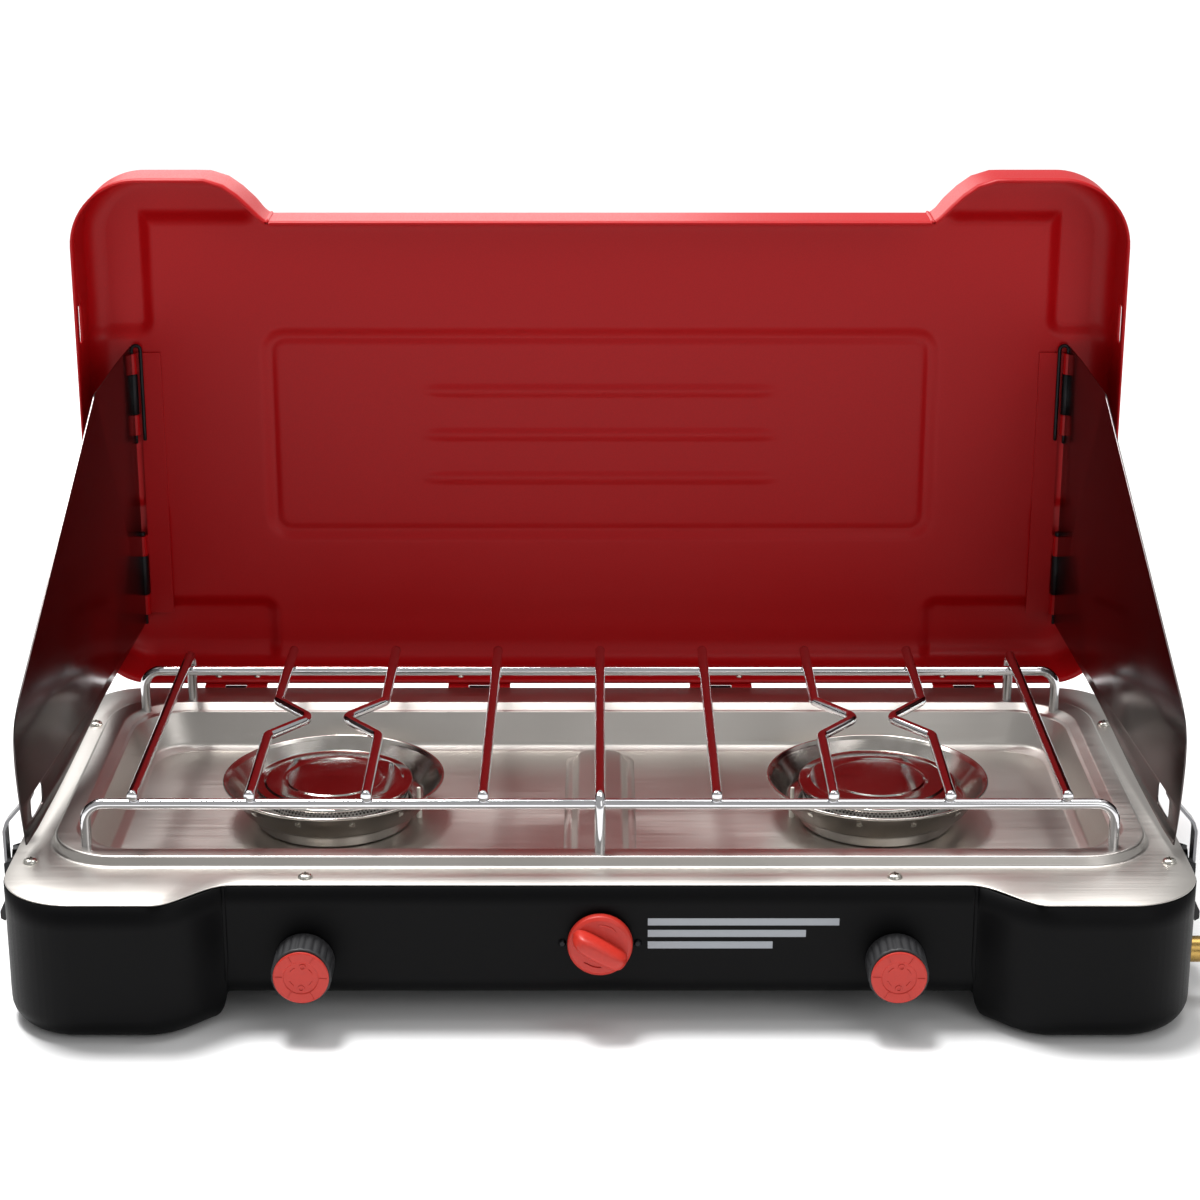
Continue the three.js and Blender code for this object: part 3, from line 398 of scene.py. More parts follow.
# The section from the ring's outer foot to the pan's floor: distance inwards, and height.
tray_section = filleted([(-7, TRAY["deck"]), (0, TRAY["deck"]), (1.8, TRAY["ring"]), (12.5, TRAY["ring"]),
                         (17, TRAY["ring"] - 3.5), (19, TRAY["ring"] - 4.2), (26, TRAY["pan"] + 3),
                         (31, TRAY["pan"]), (44, TRAY["pan"])], [1, 2, 1.6, 2.4, 1.2, 0.8, 5, 4, 1], 5)
section_radius = np.interp(tray_section[:, 0], [-7, 0, 13, 19, 31, 44], [44, 40, 34, 31, 26, 22])
levels = []
for inset, z in ((0.4, TRAY["deck"] - 0.5), (0.5, TRAY["deck"] - 0.2), (0.8, TRAY["deck"])):
    loop = tray_loop(CASE["half"] - inset, CASE["front"] + inset, CASE["rear"] - inset,
                     CASE["radius"] - inset, CASE["rear_radius"] - inset, front_edge(inset))
    levels.append(np.column_stack([loop, np.full(len(loop), z)]))
for (inset, z), radius in zip(tray_section, section_radius):
    loop = tray_loop(TRAY["half"] - inset, TRAY["front"] + inset, TRAY["rear"] - inset, radius, radius)
    levels.append(np.column_stack([loop, np.full(len(loop), z)]))
middle_point = np.array([0, TRAY_MIDDLE, TRAY["pan"]])
levels += [middle_point + (levels[-1] - middle_point) * share for share in (0.8, 0.6, 0.4, 0.2, 0)]

rib_levels = []
for inset, z in filleted([(-6, 0.05), (-1.5, 0.05), (2, RIB["height"]), (8, RIB["height"])], 2.4, 6):
    curve = rounded_rect(-RIB["half"] + inset, RIB["half"] - inset, RIB["front"] + inset,
                         RIB["rear"] - inset, max(RIB["radius"] - inset * 0.8, 2), 10)
    rib_levels.append(np.column_stack([curve, np.full(len(curve), TRAY["pan"] + z)]))
rib_levels.append(np.repeat([[0, (RIB["front"] + RIB["rear"]) / 2, TRAY["pan"] + RIB["height"]]],
                            len(rib_levels[0]), 0))

# Stainless sheet, brushed along its length: bright, slightly warm, with soft smudges of a few
# centimetres. Its lines are drawn a millimetre apart, coarser than real ones, so that they show.
tray_steel, tree, shader = surface("brushed_stainless_sheet", Metallic=1.0, Anisotropic=0.35)
place = node(tree, "ShaderNodeTexCoord").outputs["Object"]
lines_at = node(tree, "ShaderNodeMapping", {"Vector": place, "Scale": (0.015, 1, 0.6)}).outputs["Vector"]
brushed = node(tree, "ShaderNodeTexNoise", {"Vector": lines_at, "Scale": 1000, "Detail": 2}).outputs["Fac"]
smudge = node(tree, "ShaderNodeTexNoise", {"Vector": place, "Scale": 14, "Detail": 2}).outputs["Fac"]
both = node(tree, "ShaderNodeMath", {0: brushed, 1: smudge}, operation="ADD").outputs["Value"]
rough = node(tree, "ShaderNodeMapRange", {"Value": both, "From Min": 0.7, "From Max": 1.3,
                                           "To Min": 0.32, "To Max": 0.43})
tree.links.new(rough.outputs["Result"], shader.inputs["Roughness"])
relief = node(tree, "ShaderNodeBump", {"Height": brushed, "Strength": 0.1, "Distance": 0.00005})
tree.links.new(relief.outputs["Normal"], shader.inputs["Normal"])
blend = node(tree, "ShaderNodeMix", {"Factor": smudge, "A": srgb("bfbab4"), "B": srgb("cdc9c4")},
             data_type="RGBA")
tree.links.new(blend.outputs["Result"], shader.inputs["Base Color"])

tray = mesh_piece("tray_pressing", [
    (np.array(levels), grid_faces(len(levels), len(levels[0]), wrap=True)),
    (np.array(rib_levels), grid_faces(len(rib_levels), len(rib_levels[0]), wrap=True)),
], "base", tray_steel, out=(0, 0, 1), sharp=50)
thicken(tray, TRAY["sheet"])
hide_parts("drip_tray")


def turned(profile, place, axis="z", segments=48, wave=None):
    """A solid of revolution: a profile of (radius, height along the axis), carried round the axis
    through place. wave(angle, height) multiplies the radius. The profile starts and ends on the axis
    or closes on itself."""
    profile = np.array(profile, float)
    a = np.linspace(0, 2 * np.pi, segments, endpoint=False)
    radius = np.repeat(profile[:, :1], segments, 1)
    along = np.repeat(profile[:, 1:], segments, 1)
    if wave is not None:
        radius = radius * wave(np.repeat(a[None, :], len(profile), 0), along)
    u, v = radius * np.cos(a), radius * np.sin(a)
    order = {"x": (along, u, v), "y": (u, along, v), "z": (u, v, along)}[axis]
    return np.stack(order, -1) + place, grid_faces(len(profile), segments, wrap=True)


# Pan-head screws with a cross recess, plated bright, hold the flange down.
plated, tree, shader = surface("bright_zinc_plate", Metallic=1.0, Base_Color=srgb("c9c6be"))
grained(tree, shader, 900, 0.18, 0.34)
# The recess is unplated and in shade, so it reads as dark brown.
recess, _, _ = surface("screw_recess_shadow", Metallic=1.0, Base_Color=srgb("4a443c"), Roughness=0.5)
SCREWS = [(-160.4, -129.8), (160.4, -129.8), (-313.8, -110), (313.8, -110), (-313.8, 96), (313.8, 96)]
heads = [turned([(0, 2.3), (1.9, 2.2), (3.3, 1.6), (4.1, 0.6), (4.2, 0), (0, 0)],
                (x, y, TRAY["deck"] + 0.05)) for x, y in SCREWS]
mesh_piece("tray_screws", heads, "base", plated)
slots = []
for x, y in SCREWS:
    top = TRAY["deck"] + 2.25
    slots += [bar_form(x - 2, x + 2, y - 0.45, y + 0.45, top - 0.5, top + 0.16),
              bar_form(x - 0.45, x + 0.45, y - 2, y + 2, top - 0.5, top + 0.17)]
mesh_piece("tray_screw_crosses", slots, "base", recess)

# ---------------------------------------------------------------- burners
# A spun steel bowl with a ring of air holes, a cast head with rows of flame ports, and a polished cap.
BURNER_X = {"left": -156.5, "right": 163}
BOWL = {"rim": 65, "rim_z": 88.5, "neck": 46, "neck_z": 71.4, "cap": 47, "cap_z": 83.6}

# Spun steel: cloudy warm grey with a soft shine. The cap is the same steel, polished.
bowl_steel, tree, shader = surface("spun_stainless_steel", Metallic=1.0)
grained(tree, shader, 60, 0.12, 0.26, detail=5, colours=("aaa39b", "cfcbc6"))
polished, tree, shader = surface("polished_stainless_steel", Metallic=1.0)
grained(tree, shader, 35, 0.05, 0.16, detail=4, colours=("b5afa9", "d2cec9"))
# The ports are open holes in the real head; a near-black face on each is painted shade, standing for the dark
# inside the hole.
port_shadow, _, _ = surface("flame_port_painted_shade", Base_Color=srgb("151210"), Roughness=0.9)

for side, x in BURNER_X.items():
    body_z = TRAY["pan"] + 0.3
    bowl_outside = filleted([(12, body_z), (BOWL["neck"], body_z), (BOWL["neck"], BOWL["neck_z"] - 2),
                             (53, BOWL["neck_z"]), (BOWL["rim"] - 2.2, BOWL["rim_z"] - 2.5),
                             (BOWL["rim"] - 0.8, BOWL["rim_z"] - 0.4)], [1, 1, 3, 6, 3, 1], 5)
    bowl_inside = filleted([(BOWL["rim"] - 1.6, BOWL["rim_z"]), (BOWL["rim"] - 3.4, BOWL["rim_z"] - 2),
                            (52.6, BOWL["neck_z"] + 1), (45, BOWL["neck_z"] + 0.4), (45, body_z + 1),
                            (12, body_z + 1)], [1, 3, 5, 2, 1, 1], 5)
    lip = arc_points(BOWL["rim"] - 0.9, BOWL["rim_z"] - 0.9, 0.9, -40, 150, 8)
    profile = np.concatenate([bowl_outside[:-1], lip, bowl_inside[1:], bowl_outside[:1]])
    bowl = mesh_piece(f"burner_bowl_shell_{side}", [turned(profile, (x, 0, 0), segments=96)],
                      "base", bowl_steel, sharp=50)
    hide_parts(f"burner_bowl_{side}")

    cap_r, cap_z = BOWL["cap"], BOWL["cap_z"]
    crown = filleted([(0, cap_z), (cap_r - 1.4, cap_z), (cap_r, cap_z + 0.8), (cap_r - 1.2, cap_z + 2.2),
                      (41, cap_z + 2.6), (39.5, cap_z + 3.4), (30, cap_z + 3.6), (28.5, cap_z + 2.9),
                      (27, cap_z + 3.6), (0, cap_z + 3.8)], [1, 0.6, 0.5, 1, 1, 1, 0.7, 0.6, 0.7, 1], 4)
    cap = mesh_piece(f"burner_cap_disc_{side}", [turned(crown, (x, 0, 0), segments=96)],
                     "base", polished, sharp=50)
    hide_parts(f"burner_cap_{side}")

    # Air holes in the bowl's wall, seen as small bright discs, and flame ports under the cap's edge, drawn as
    # near-black discs of painted shade.
    holes = []
    for a in np.radians(np.arange(12) * 30 + 15):
        out = np.array([math.cos(a), math.sin(a)])
        spot = np.array([x, 0]) + out * 59.3
        ring = np.radians(np.arange(14) * 360 / 14)
        across = np.array([-out[1], out[0]])
        lean = np.array([out[0] * 0.58, out[1] * 0.58, 0.81])
        centre = np.array([spot[0], spot[1], 81.6])
        disc = centre + 1.9 * (np.cos(ring)[:, None] * np.append(across, 0) + np.sin(ring)[:, None] * lean)
        face_out = np.append(-out * 0.81, 0.58)
        holes.append((np.concatenate([disc + face_out * 0.15, disc - face_out * 0.5]),
                      [list(range(14)), list(range(27, 13, -1))]
                      + [[i, (i + 1) % 14, 14 + (i + 1) % 14, 14 + i] for i in range(14)]))
    mesh_piece(f"bowl_air_holes_{side}", holes, "base", plated)
    # Each flame port is a small near-black disc: painted shade in place of the open hole.
    ports = []
    for row, z in enumerate((78.6, 80.7, 82.4)):
        for k in range(120):
            a = math.radians((k + 0.5 * (row % 2)) * 3)
            out, across = np.array([math.cos(a), math.sin(a), 0]), np.array([-math.sin(a), math.cos(a), 0])
            ring = np.radians(np.arange(6) * 60)
            centre = np.array([x, 0, z]) + out * 43.5
            upward = np.array([0, 0, 1])
            disc = centre + 0.62 * (np.cos(ring)[:, None] * across + np.sin(ring)[:, None] * upward)
            ports.append((np.concatenate([disc, disc - out * 0.8]),
                          [list(range(6)), list(range(11, 5, -1))]
                          + [[i, (i + 1) % 6, 6 + (i + 1) % 6, 6 + i] for i in range(6)]))
    mesh_piece(f"flame_port_shade_{side}", ports, "base", port_shadow)

# ---------------------------------------------------------------- grate
# Six millimetre steel wire, bent and welded where the rods cross the rails, and chrome plated.
WIRE = 3
RAIL = {"half": 284, "z": 113, "front": -100, "rear": 110}
ROD = {"z": 119.3, "pitch": 64.2, "front": -105, "rear": 130}
WIRE_FOOT_Z = 80
KINK = {"depth": 22, "middle": 13, "half": 28}

# Chrome plate: a bright cool mirror with a slight ripple.
chrome, tree, shader = surface("bright_chrome_plate", Metallic=1.0, Base_Color=srgb("dcdcde"))
grained(tree, shader, 220, 0.05, 0.12, bump=0.05, height=0.00005)


def swept(path, radius, sides=20, chamfer=0.5):
    """A round wire along a path: a circle carried along it square to the run, with chamfered ends."""
    path = np.asarray(path, float)
    run = np.gradient(path, axis=0)
    run /= np.linalg.norm(run, axis=1)[:, None]
    up = np.array([0.0, 0.0, 1.0]) if abs(run[0][2]) < 0.9 else np.array([1.0, 0.0, 0.0])
    frames = []
    for direction in run:
        up = up - direction * (up @ direction)
        up = up / np.linalg.norm(up)
        frames.append((up, np.cross(direction, up)))
    u, v = (np.array(f) for f in zip(*frames))
    a = np.linspace(0, 2 * np.pi, sides, endpoint=False)
    rim = u[:, None, :] * np.cos(a)[None, :, None] + v[:, None, :] * np.sin(a)[None, :, None]
    rings = path[:, None, :] + radius * rim
    first = path[0] + rim[0] * (radius - chamfer)
    last = path[-1] + rim[-1] * (radius - chamfer)
    rings[0] += run[0] * chamfer
    rings[-1] -= run[-1] * chamfer
    rings = np.concatenate([np.repeat(path[:1, None, :], sides, 1), first[None], rings, last[None],
                            np.repeat(path[-1:, None, :], sides, 1)])
    return rings, grid_faces(len(rings), sides, wrap=True)


def resampled(path, step_length=4.0):
    """The path with points no further apart than a step, so that bends stay round."""
    out = [path[0]]
    for a, b in zip(path[:-1], path[1:]):
        count = max(1, int(np.linalg.norm(b - a) // step_length))
        out += [a + (b - a) * (k + 1) / count for k in range(count)]
    return np.array(out)


def wire(name, corners, radius, material, body, bend=7, node_name=None):
    """A bent wire as a piece in place of its CAD node."""
    path = resampled(filleted(corners, bend, 8))
    made = mesh_piece(name, [swept(path, radius)], body, material, sharp=50)
    if node_name:
        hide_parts(node_name)
    return made


for side, y in (("front", RAIL["front"]), ("rear", RAIL["rear"])):
    wire(f"{side}_rail_wire", [(-RAIL["half"], y, WIRE_FOOT_Z), (-RAIL["half"], y, RAIL["z"]),
                               (RAIL["half"], y, RAIL["z"]), (RAIL["half"], y, WIRE_FOOT_Z)],
         WIRE, chrome, "grate", 10, f"grate_{side}_rail")
for i in range(-4, 5):
    x = i * ROD["pitch"]
    corners = [(x, ROD["front"], ROD["z"]), (x, ROD["rear"], ROD["z"])]
    if i == 0:
        corners = [(0, -107.2, WIRE_FOOT_Z), (0, -107.2, ROD["z"]), corners[1]]
    if abs(i) == 4:
        corners = [corners[0], (x, 125.5, ROD["z"]), (x, 125.5, WIRE_FOOT_Z)]
    if abs(i) in (2, 3):
        apex = x + np.sign(i) * (-1 if abs(i) == 3 else 1) * KINK["depth"]
        corners = [corners[0], (x, KINK["middle"] - KINK["half"], ROD["z"]), (apex, KINK["middle"], ROD["z"]),
                   (x, KINK["middle"] + KINK["half"], ROD["z"]), corners[1]]
    wire(f"rod_wire_{i + 5}", corners, WIRE, chrome, "grate", 7, f"grate_rod_{i + 5}")
# A small weld nugget where each rod crosses a rail.
welds = []
for i in range(-4, 5):
    for y in (RAIL["front"], RAIL["rear"]):
        if i or y > 0:
            welds.append(turned([(0, -1.5), (1.6, -1.3), (2.2, 0), (1.6, 1.3), (0, 1.5)],
                                (i * ROD["pitch"], y, (RAIL["z"] + ROD["z"]) / 2), segments=12))
mesh_piece("weld_nuggets", welds, "grate", chrome)

# ---------------------------------------------------------------- lid
# A deep steel pressing like the case, red satin powder coat inside and out. Its corners are pressed
# out past the main panel, and a raised panel with plain beads stiffens the middle.
HINGE = {"y": 163.9, "z": 80.2}
LID = {"rim": 83, "top": 133, "pocket": 4.5}
LATCH_Y = -74
PANEL_Z = LID["top"] - LID["pocket"]
POCKETS = [(284, -999, -59), (215, -999, -132), (282, 50, 999), (212, 118, 999)]
PANEL = {"half": 211, "front": -58, "rear": 72, "rise": 3}
BEADS = [(-22, 110), (7, 110), (36, 110)]        # place along the lid's depth, and half length


def smooth_box(x, y, half, low, high, width, radius=10):
    """1 inside a rounded rectangle and 0 outside, with a smooth border of the given width."""
    dx = np.abs(x) - half + radius
    dy = np.maximum(low - y, y - high) + radius
    reach = np.hypot(np.maximum(dx, 0), np.maximum(dy, 0)) + np.minimum(np.maximum(dx, dy), 0) - radius
    return 1 - step(reach, 0, width)


def smooth_pocket(x, y, edge, low, high):
    """0 inside a pocket that reaches past the lid's side, 1 outside, with a smooth border."""
    dx = edge - x + 10
    dy = np.maximum(low - y, y - high) + 10
    reach = np.hypot(np.maximum(dx, 0), np.maximum(dy, 0)) + np.minimum(np.maximum(dx, dy), 0) - 10
    return step(reach, -2, 10)


def lid_height(x, y):
    """The panel's level, out to the pockets at the corners, with the raised panel's border and beads."""
    pocket = np.zeros_like(np.asarray(x, float))
    for edge, low, high in POCKETS:
        inside = 1 - smooth_pocket(np.abs(x), y, edge, low, high)
        pocket = np.maximum(pocket, inside)
    panel = smooth_box(x, y, PANEL["half"], PANEL["front"], PANEL["rear"], 9)
    groove = smooth_box(x, y, PANEL["half"] + 4, PANEL["front"] - 4, PANEL["rear"] + 4, 5, 14)
    groove = groove - smooth_box(x, y, PANEL["half"] - 3, PANEL["front"] + 3, PANEL["rear"] - 3, 5, 8)
    bead = sum(smooth_box(x, y - at, long, -2.6, 2.6, 4.5, 2.6) for at, long in BEADS)
    return (PANEL_Z + LID["pocket"] * pocket + (PANEL["rise"] - 1.6) * panel + 1.6 * groove
            - 1.1 * np.clip(bead, 0, 1))


def side_slot(x, y, z):
    """True on the side walls where the latch hooks' slots are open."""
    return (np.abs(x) > CASE["half"] - 1) & (np.abs(y - LATCH_Y) < 12) & (z > 89) & (z < 101)


def opened(part):
    """A part drawn with the lid closed, turned back a quarter turn about the lid's hinge."""
    points, faces = part
    x, y, z = np.moveaxis(np.asarray(points, float).reshape(-1, 3), -1, 0)
    return np.stack([x, HINGE["y"] + z - HINGE["z"], HINGE["z"] + HINGE["y"] - y], -1), faces


# Red powder coat: a satin film with orange peel, slightly darker where it is thin.
lid_paint, tree, shader = surface("satin_red_powder_coat", Specular_IOR_Level=0.22)
grained(tree, shader, 1100, 0.32, 0.44, bump=0.1, height=0.00008, colours=("a3060c", "b90c12"))

lid_parts = pressing(lid_height, [-284, -215, 284, 215, -211, 211], [-132, -59, 50, 118, 72, -22, 7, 36],
                     CASE["edge"], LID["rim"], gap=side_slot)
lid = mesh_piece("lid_pressing", [opened(part) for part in lid_parts], "lid", lid_paint,
                 out=(0, 1, 0), sharp=60)
thicken(lid, CASE["sheet"])
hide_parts("lid_shell")


def finished_copy(node_name, piece_name, body, material, bevel=0.3, sharp=30):
    """A copy of a CAD node with its doubles merged and its edges eased, in place of the node."""
    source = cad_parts[node_name]
    mesh = source.data.copy()
    mesh.materials.clear()
    form = bmesh.new()
    form.from_mesh(mesh)
    bmesh.ops.remove_doubles(form, verts=form.verts, dist=1e-6)
    bmesh.ops.dissolve_limit(form, angle_limit=math.radians(1), verts=form.verts, edges=form.edges)
    bmesh.ops.recalc_face_normals(form, faces=form.faces)
    form.to_mesh(mesh)
    form.free()
    for layer in list(mesh.attributes):
        if layer.name.startswith("custom_normal"):
            mesh.attributes.remove(layer)
    mesh.shade_smooth()
    mesh.set_sharp_from_angle(angle=math.radians(sharp))
    mesh.materials.append(material)
    made = bpy.data.objects.new(piece_name, mesh)
    scene.collection.objects.link(made)
    if bevel:
        eased = made.modifiers.new("eased_edges", "BEVEL")
        eased.width, eased.segments, eased.limit_method = bevel * MM, 2, "ANGLE"
        eased.angle_limit = math.radians(40)
    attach(made, body)
    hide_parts(node_name)
    return made


# Four steel butt hinges, two bright rivets each, on the lid's lower wall.
# Black coating over steel: dark, with a metal sheen where light grazes it.
blackened, tree, shader = surface("black_coated_steel", Metallic=0.6, Base_Color=srgb("17171a"))
grained(tree, shader, 400, 0.3, 0.45)
for i in range(1, 5):
    finished_copy(f"hinge_leaf_base_{i}", f"base_leaf_{i}", "base", blackened, 0.2)
    finished_copy(f"hinge_leaf_lid_{i}", f"lid_leaf_{i}", "lid", lid_paint, 0.2)
LID_HINGE_X = (-235, -78, 78, 235)
rivets = [turned([(0, 1.4), (1.2, 1.2), (2.1, 0.5), (2.4, 0), (0, 0)], (x + dx, HINGE["y"] + 12, 84.55))
          for x in LID_HINGE_X for dx in (-12.5, 12.5)]
mesh_piece("hinge_rivets", rivets, "lid", plated)

# ---------------------------------------------------------------- windscreens
# A flat plate of dark mirror-like steel each side, hung on two rolled hinges. Its front end is held
# by the latch's hook through a slot.
SCREEN = {"x": 298, "y": 207.5, "splay": 3.6, "bottom": 88.6, "sheet": 1}
# Dark smooth steel: a cloudy near-mirror that takes the red of the lid.
screen_steel, tree, shader = surface("dark_smooth_steel", Metallic=1.0)
grained(tree, shader, 30, 0.17, 0.25, stretch=(1, 1, 0.25), detail=3, colours=("4a4444", "575050"))


def curve_through(points, steps=12):
    """A smooth Catmull-Rom curve through the points."""
    p = np.array([points[0], *points, points[-1]], float)
    out = []
    for a, b, c, d in zip(p[:-3], p[1:-2], p[2:-1], p[3:]):
        t = np.linspace(0, 1, steps, endpoint=False)[:, None]
        out.append(0.5 * (2 * b + (c - a) * t + (2 * a - 5 * b + 4 * c - d) * t ** 2
                          + (3 * b - a - 3 * c + d) * t ** 3))
    return np.concatenate(out + [p[-1:]])


screen_front = curve_through([(309, SCREEN["bottom"]), (315, 113), (319, 142), (315, 161), (302, 173)])
upper_run = filleted([(302, 173), (100, 291), (34, 296), (2.2, 297)], [1, 14, 10, 1], 8)
lower_run = curve_through([(2.2, 113), (15, 111), (120, 105.5), (220, 94), (285, SCREEN["bottom"])], 8)
outline = np.concatenate([screen_front, upper_run[1:], lower_run])
slot_outline = rounded_rect(271, 296, 98, 112, 4, 6)


def flat_plate(name, curves, thickness, place, turn, body, material):
    """A sheet-metal plate from closed outlines in its own plane, filled between them, stood upright
    and turned about a vertical through place."""
    data = bpy.data.curves.new(name, "CURVE")
    data.dimensions, data.fill_mode = "2D", "BOTH"
    data.extrude, data.bevel_depth, data.bevel_resolution = (thickness / 2 - 0.15) * MM, 0.15 * MM, 1
    data.offset = -0.15 * MM
    for points in curves:
        spline = data.splines.new("POLY")
        spline.points.add(len(points) - 1)
        flat = np.column_stack([points * MM, np.zeros(len(points)), np.ones(len(points))])
        spline.points.foreach_set("co", flat.ravel())
        spline.use_cyclic_u = True
    shape = bpy.data.objects.new(name, data)
    scene.collection.objects.link(shape)
    mesh = bpy.data.meshes.new_from_object(shape.evaluated_get(bpy.context.evaluated_depsgraph_get()))
    bpy.data.objects.remove(shape)
    co = np.zeros(len(mesh.vertices) * 3)
    mesh.vertices.foreach_get("co", co)
    u, z, across = co.reshape(-1, 3).T / MM
    a = math.radians(turn)
    upright = np.column_stack([place[0] + u * math.sin(a) + across * math.cos(a),
                               place[1] - u * math.cos(a) + across * math.sin(a), z])
    faces = [tuple(p.vertices) for p in mesh.polygons]
    sheet = (upright, np.array(faces + [None], object)[:-1])
    return mesh_piece(name, [sheet], body, material)


KNUCKLE_Z = (143.4, 265.2)
KNUCKLE = {"radius": 3, "middle": 26.6, "end": 13.4, "pin": 1.2}
for side, sign in (("left", -1), ("right", 1)):
    body = f"windscreen_{side}"
    plate = flat_plate(f"{body}_plate", [outline, slot_outline], SCREEN["sheet"],
                       (sign * SCREEN["x"], SCREEN["y"]), sign * SCREEN["splay"], body,
                       screen_steel)
    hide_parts(body)
    half = KNUCKLE["middle"] / 2 - 0.2
    rolled = [turned([(1.5, z - half), (2.8, z - half), (3, z - half + 0.3), (3, z + half - 0.3),
                      (2.8, z + half), (1.5, z + half), (1.5, z - half)],
                     (sign * SCREEN["x"], SCREEN["y"], 0), segments=28) for z in KNUCKLE_Z]
    mesh_piece(f"{body}_knuckles", rolled, body, blackened)
    finished_copy(f"windscreen_bracket_{side}", f"screen_bracket_{side}", "lid", lid_paint, 0.25)
    finished_copy(f"windscreen_pin_lower_{side}", f"screen_pin_lower_{side}", "lid",
                  blackened, 0.2)
    reach = KNUCKLE["middle"] / 2 + KNUCKLE["end"]
    upper = KNUCKLE_Z[1]
    px, inner = sign * SCREEN["x"], sign * (SCREEN["x"] - 5.6)
    pin_path = [(px, SCREEN["y"], upper - reach - 6), (px, SCREEN["y"], upper + reach + 5),
                (inner, SCREEN["y"], upper + reach + 5), (inner, SCREEN["y"], upper - reach - 4)]
    wire(f"screen_pin_upper_{side}_wire", pin_path,
         KNUCKLE["pin"], blackened, "lid", 2.7, f"windscreen_pin_upper_{side}")

# ---------------------------------------------------------------- knobs
# Burner knobs: a black fluted grip with a red moulded face. Igniter knob: one red moulding with a
# diagonal grip. Arrows and ribs on their faces are plain relief.
KNOB = {"x": 161, "z": 38, "igniter_z": 49, "back": FRONT_Y - 1}
# Black moulding: matt and slightly pebbled. Red nylon: softer sheen, uneven in colour.
grip_plastic, tree, shader = surface("matt_black_moulded_plastic", Base_Color=srgb("222224"))
grained(tree, shader, 900, 0.5, 0.68, bump=0.1)
knob_plastic, tree, shader = surface("red_moulded_nylon", Specular_IOR_Level=0.4)
grained(tree, shader, 500, 0.34, 0.48, bump=0.06, colours=("b32a1f", "c33226"))


def rib_form(radius0, radius1, angle, width, height, centre, face_y):
    """A low straight rib on a knob's face, from one radius to another along an angle in degrees."""
    a = math.radians(angle)
    out, across = np.array([math.cos(a), 0, math.sin(a)]), np.array([-math.sin(a), 0, math.cos(a)])
    mid = np.array([centre[0], face_y, centre[1]])
    corners = [mid + out * r + across * w + np.array([0, d, 0])
               for r in (radius0, radius1) for w in (-width / 2, width / 2) for d in (0.3, -height)]
    return np.array(corners), BOX_FACES


def arc_rib(radius, start, end, width, height, centre, face_y, steps=14):
    """A curved rib of trapezium section round a knob's face, tapering to a point at its end."""
    a = np.radians(np.linspace(start, end, steps))
    taper = np.clip(np.linspace(steps, 0, steps) / 3, 0.15, 1)
    section = np.array([(-0.5, 0.3), (-0.3, -1), (0.3, -1), (0.5, 0.3)])
    rings = []
    for angle, share in zip(a, taper):
        r = radius + section[:, 0] * width * share
        depth = np.where(section[:, 1] > 0, 0.3, -height)
        rings.append(np.column_stack([centre[0] + r * math.cos(angle), face_y + depth,
                                      centre[1] + r * math.sin(angle)]))
    rings = np.array(rings)
    faces = grid_faces(steps, 4, wrap=True).tolist()
    return rings, faces + [[3, 2, 1, 0], [4 * steps - 4, 4 * steps - 3, 4 * steps - 2, 4 * steps - 1]]


def ring_form(radius, width, height, centre, face_y, segments=28):
    """A low raised ring on a knob's face."""
    section = [(radius - width, 0.3), (radius - width * 0.8, -height), (radius + width * 0.8, -height),
               (radius + width, 0.3), (radius - width, 0.3)]
    return turned(section, (centre[0], face_y, centre[1]), "y", segments)


for side, sign in (("left", -1), ("right", 1)):
    centre = (sign * KNOB["x"], KNOB["z"])
    back, face = KNOB["back"], KNOB["back"] - 20

    def flutes(angle, along):
        """Shallow flutes round the grip, fading at its ends."""
        middle = np.clip((back - 0.8 - along) / 2, 0, 1) * np.clip((along - face - 0.4) / 1.5, 0, 1)
        return 1 - 0.045 * middle * (0.5 + 0.5 * np.cos(22 * angle)) ** 2

    shell = filleted([(0, back), (16, back), (16.55, back - 1), (16.55, face + 1), (15.9, face), (0, face)],
                     [0.3, 0.4, 0.4, 0.6, 0.4, 0.3], 3)
    dense = resampled(shell, 1.0)
    grip = mesh_piece(f"burner_knob_grip_{side}", [turned(dense, (centre[0], 0, centre[1]), "y", 176, flutes),
                                                   turned([(0, -142), (3, -142), (3, -129), (0, -129)],
                                                          (centre[0], 0, centre[1]), "y", 20)],
                      f"burner_knob_{side}", grip_plastic, sharp=50)
    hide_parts(f"knob_grip_{side}")
    top = face - 0.3 - 1.6
    disc = filleted([(0, face - 0.3), (14.9, face - 0.3), (15.2, top + 0.6), (14.4, top), (9.6, top),
                     (9.2, top + 0.5), (0, top + 0.5)], [0.2, 0.2, 0.3, 0.5, 0.2, 0.2, 0.1], 4)
    relief_parts = [turned(disc, (centre[0], 0, centre[1]), "y", 64)]
    relief_parts += [rib_form(9.9, 14.2, k * 60 - 2, 0.5, 0.35, centre, top) for k in range(6)]
    for a in np.radians((80, 270)):
        spot = (centre[0] + 6.4 * math.cos(a), centre[1] + 6.4 * math.sin(a))
        relief_parts.append(ring_form(1.5, 0.45, 0.45, spot, top + 0.5, 18))
    relief_parts += [arc_rib(6.4, start, start + 32, 0.9, 0.35, centre, top + 0.5)
                     for start in (20, 120, 200, 310)]
    knob_face = mesh_piece(f"burner_knob_face_{side}", relief_parts, f"burner_knob_{side}",
                           knob_plastic, sharp=40)
    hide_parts(f"knob_face_{side}")

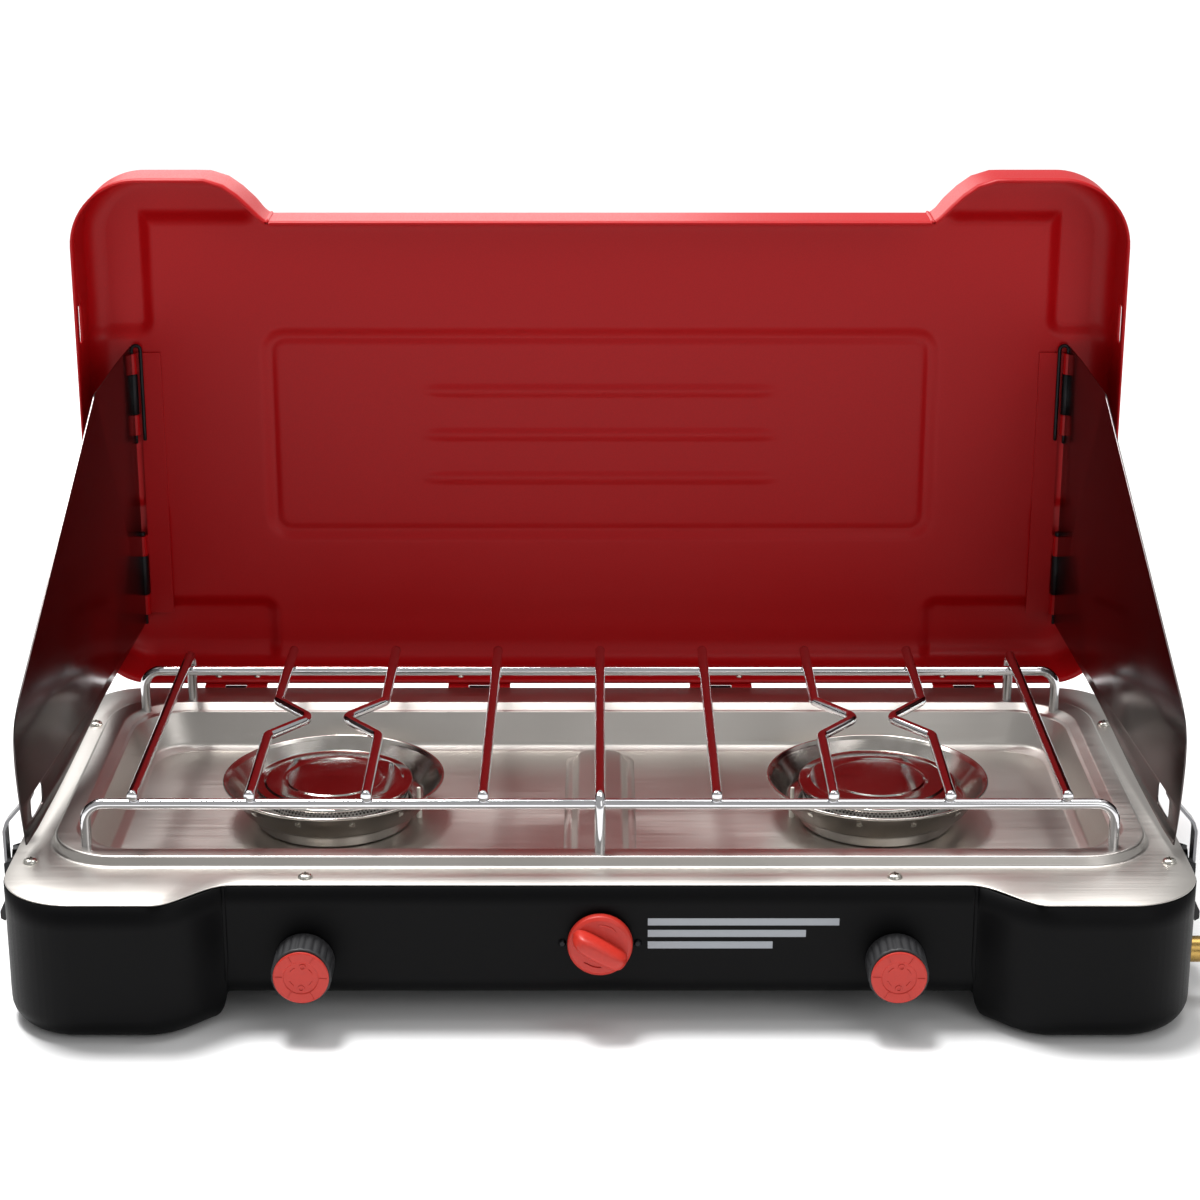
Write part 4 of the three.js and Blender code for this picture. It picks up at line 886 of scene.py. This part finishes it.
back = KNOB["back"]
disc = filleted([(0, back), (16.8, back), (17.9, back - 2), (17.6, back - 5.4), (15.6, back - 6.8),
                 (0, back - 6.8)], [0.5, 1, 1.4, 1.6, 1.2, 0.5], 5)
u = np.linspace(-1, 1, 41)
v = np.linspace(0, 1, 25)
uu, vv = np.meshgrid(u, v, indexing="ij")
# The grip is a rounded ridge across the disc: a superellipse section that swells to its middle.
length, width, tall = 16.6, 5.6 - 1.4 * uu ** 2, 13.4 - 2.6 * uu ** 4
turn_angle = vv * np.pi
section_x = np.sign(np.cos(turn_angle)) * np.abs(np.cos(turn_angle)) ** 0.55 * width
section_y = np.abs(np.sin(turn_angle)) ** 0.5 * tall
end_round = (1 - np.abs(uu) ** 8) ** 0.5
along = uu * length
lean = math.radians(-30)
ridge = np.stack([along * math.cos(lean) - section_x * end_round * math.sin(lean),
                  back - 5.5 - section_y * end_round,
                  KNOB["igniter_z"] + along * math.sin(lean) + section_x * end_round * math.cos(lean)], -1)
floor_row = ridge.copy()
floor_row[..., 1] = back - 5.4
ridge_faces = grid_faces(41, 25)
igniter_relief = [turned(disc, (0, 0, KNOB["igniter_z"]), "y", 72), (ridge, ridge_faces),
                  (np.stack([floor_row[:, 0], floor_row[:, -1]], 1), grid_faces(41, 2)),
                  turned([(0, -142), (3, -142), (3, -129), (0, -129)], (0, 0, KNOB["igniter_z"]), "y", 20)]
igniter_relief += [arc_rib(12.6, a, a - 46, 1.7, 0.7, (0, KNOB["igniter_z"]), back - 6.8) for a in (92, 272)]
igniter = mesh_piece("igniter_knob_moulding", igniter_relief, "igniter_knob",
                     knob_plastic, sharp=45)
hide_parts("igniter_knob")
igniter_screws = [turned([(0, -2), (1.3, -1.8), (2.1, -0.7), (2.2, 0), (0, 0)],
                         (x, FRONT_Y, KNOB["igniter_z"] - 1), "y", 24) for x in (-20.6, 20.6)]
mesh_piece("igniter_screws", igniter_screws, "base", blackened)

# ---------------------------------------------------------------- latches
# A pressed plate on each side of the case, a moulded lever, and a bent strap that hooks the windscreen.
# Zinc plate gone dull: mid grey with a soft sheen.
strap_steel, tree, shader = surface("zinc_plated_strap", Metallic=1.0)
grained(tree, shader, 300, 0.3, 0.45, colours=("6f6f72", "88888a"))
for side in ("left", "right"):
    finished_copy(f"latch_plate_{side}", f"latch_plate_pressing_{side}", "base",
                  blackened, 0.25)
    finished_copy(f"latch_lever_{side}", f"latch_lever_moulding_{side}", f"latch_lever_{side}",
                  grip_plastic, 0.5)
    finished_copy(f"latch_hook_{side}", f"latch_hook_strap_{side}", f"latch_hook_{side}",
                  strap_steel, 0.3)

# ---------------------------------------------------------------- gas train and ignition
# Turned brass fittings and cast aluminium tubes inside the case, glazed electrodes and red leads.
# Brass is yellow and fine-turned, the casting grey and sandy, the ceramic white and glassy.
brass, tree, shader = surface("turned_brass", Metallic=1.0)
grained(tree, shader, 500, 0.2, 0.34, colours=("a8894c", "bd9c5c"))
cast, tree, shader = surface("as_cast_aluminium", Metallic=0.9, Base_Color=srgb("8d8d8c"))
grained(tree, shader, 1200, 0.45, 0.65, bump=0.3)
ceramic, tree, shader = surface("glazed_ceramic", Base_Color=srgb("e9e4da"), Coat_Weight=0.6)
grained(tree, shader, 200, 0.15, 0.25)
lead_skin, tree, shader = surface("red_silicone_lead", Base_Color=srgb("8e1c14"))
grained(tree, shader, 700, 0.45, 0.6)
finished_copy("gas_inlet", "gas_inlet_fitting", "base", brass, 0.3)
finished_copy("manifold_tube", "manifold_pipe", "base", brass, 0, 50)
finished_copy("igniter_body", "igniter_case", "base", grip_plastic, 0.3)
for side in ("left", "right"):
    finished_copy(f"valve_body_{side}", f"gas_valve_{side}", "base", brass, 0.3)
    finished_copy(f"mixing_tube_{side}", f"venturi_{side}", "base", cast, 0, 50)
    finished_copy(f"burner_head_{side}", f"burner_cup_{side}", "base", cast, 0.3)
    finished_copy(f"electrode_{side}", f"spark_electrode_{side}", "base", ceramic, 0.15)
    finished_copy(f"ignition_lead_{side}", f"spark_lead_{side}", "base", lead_skin, 0, 50)
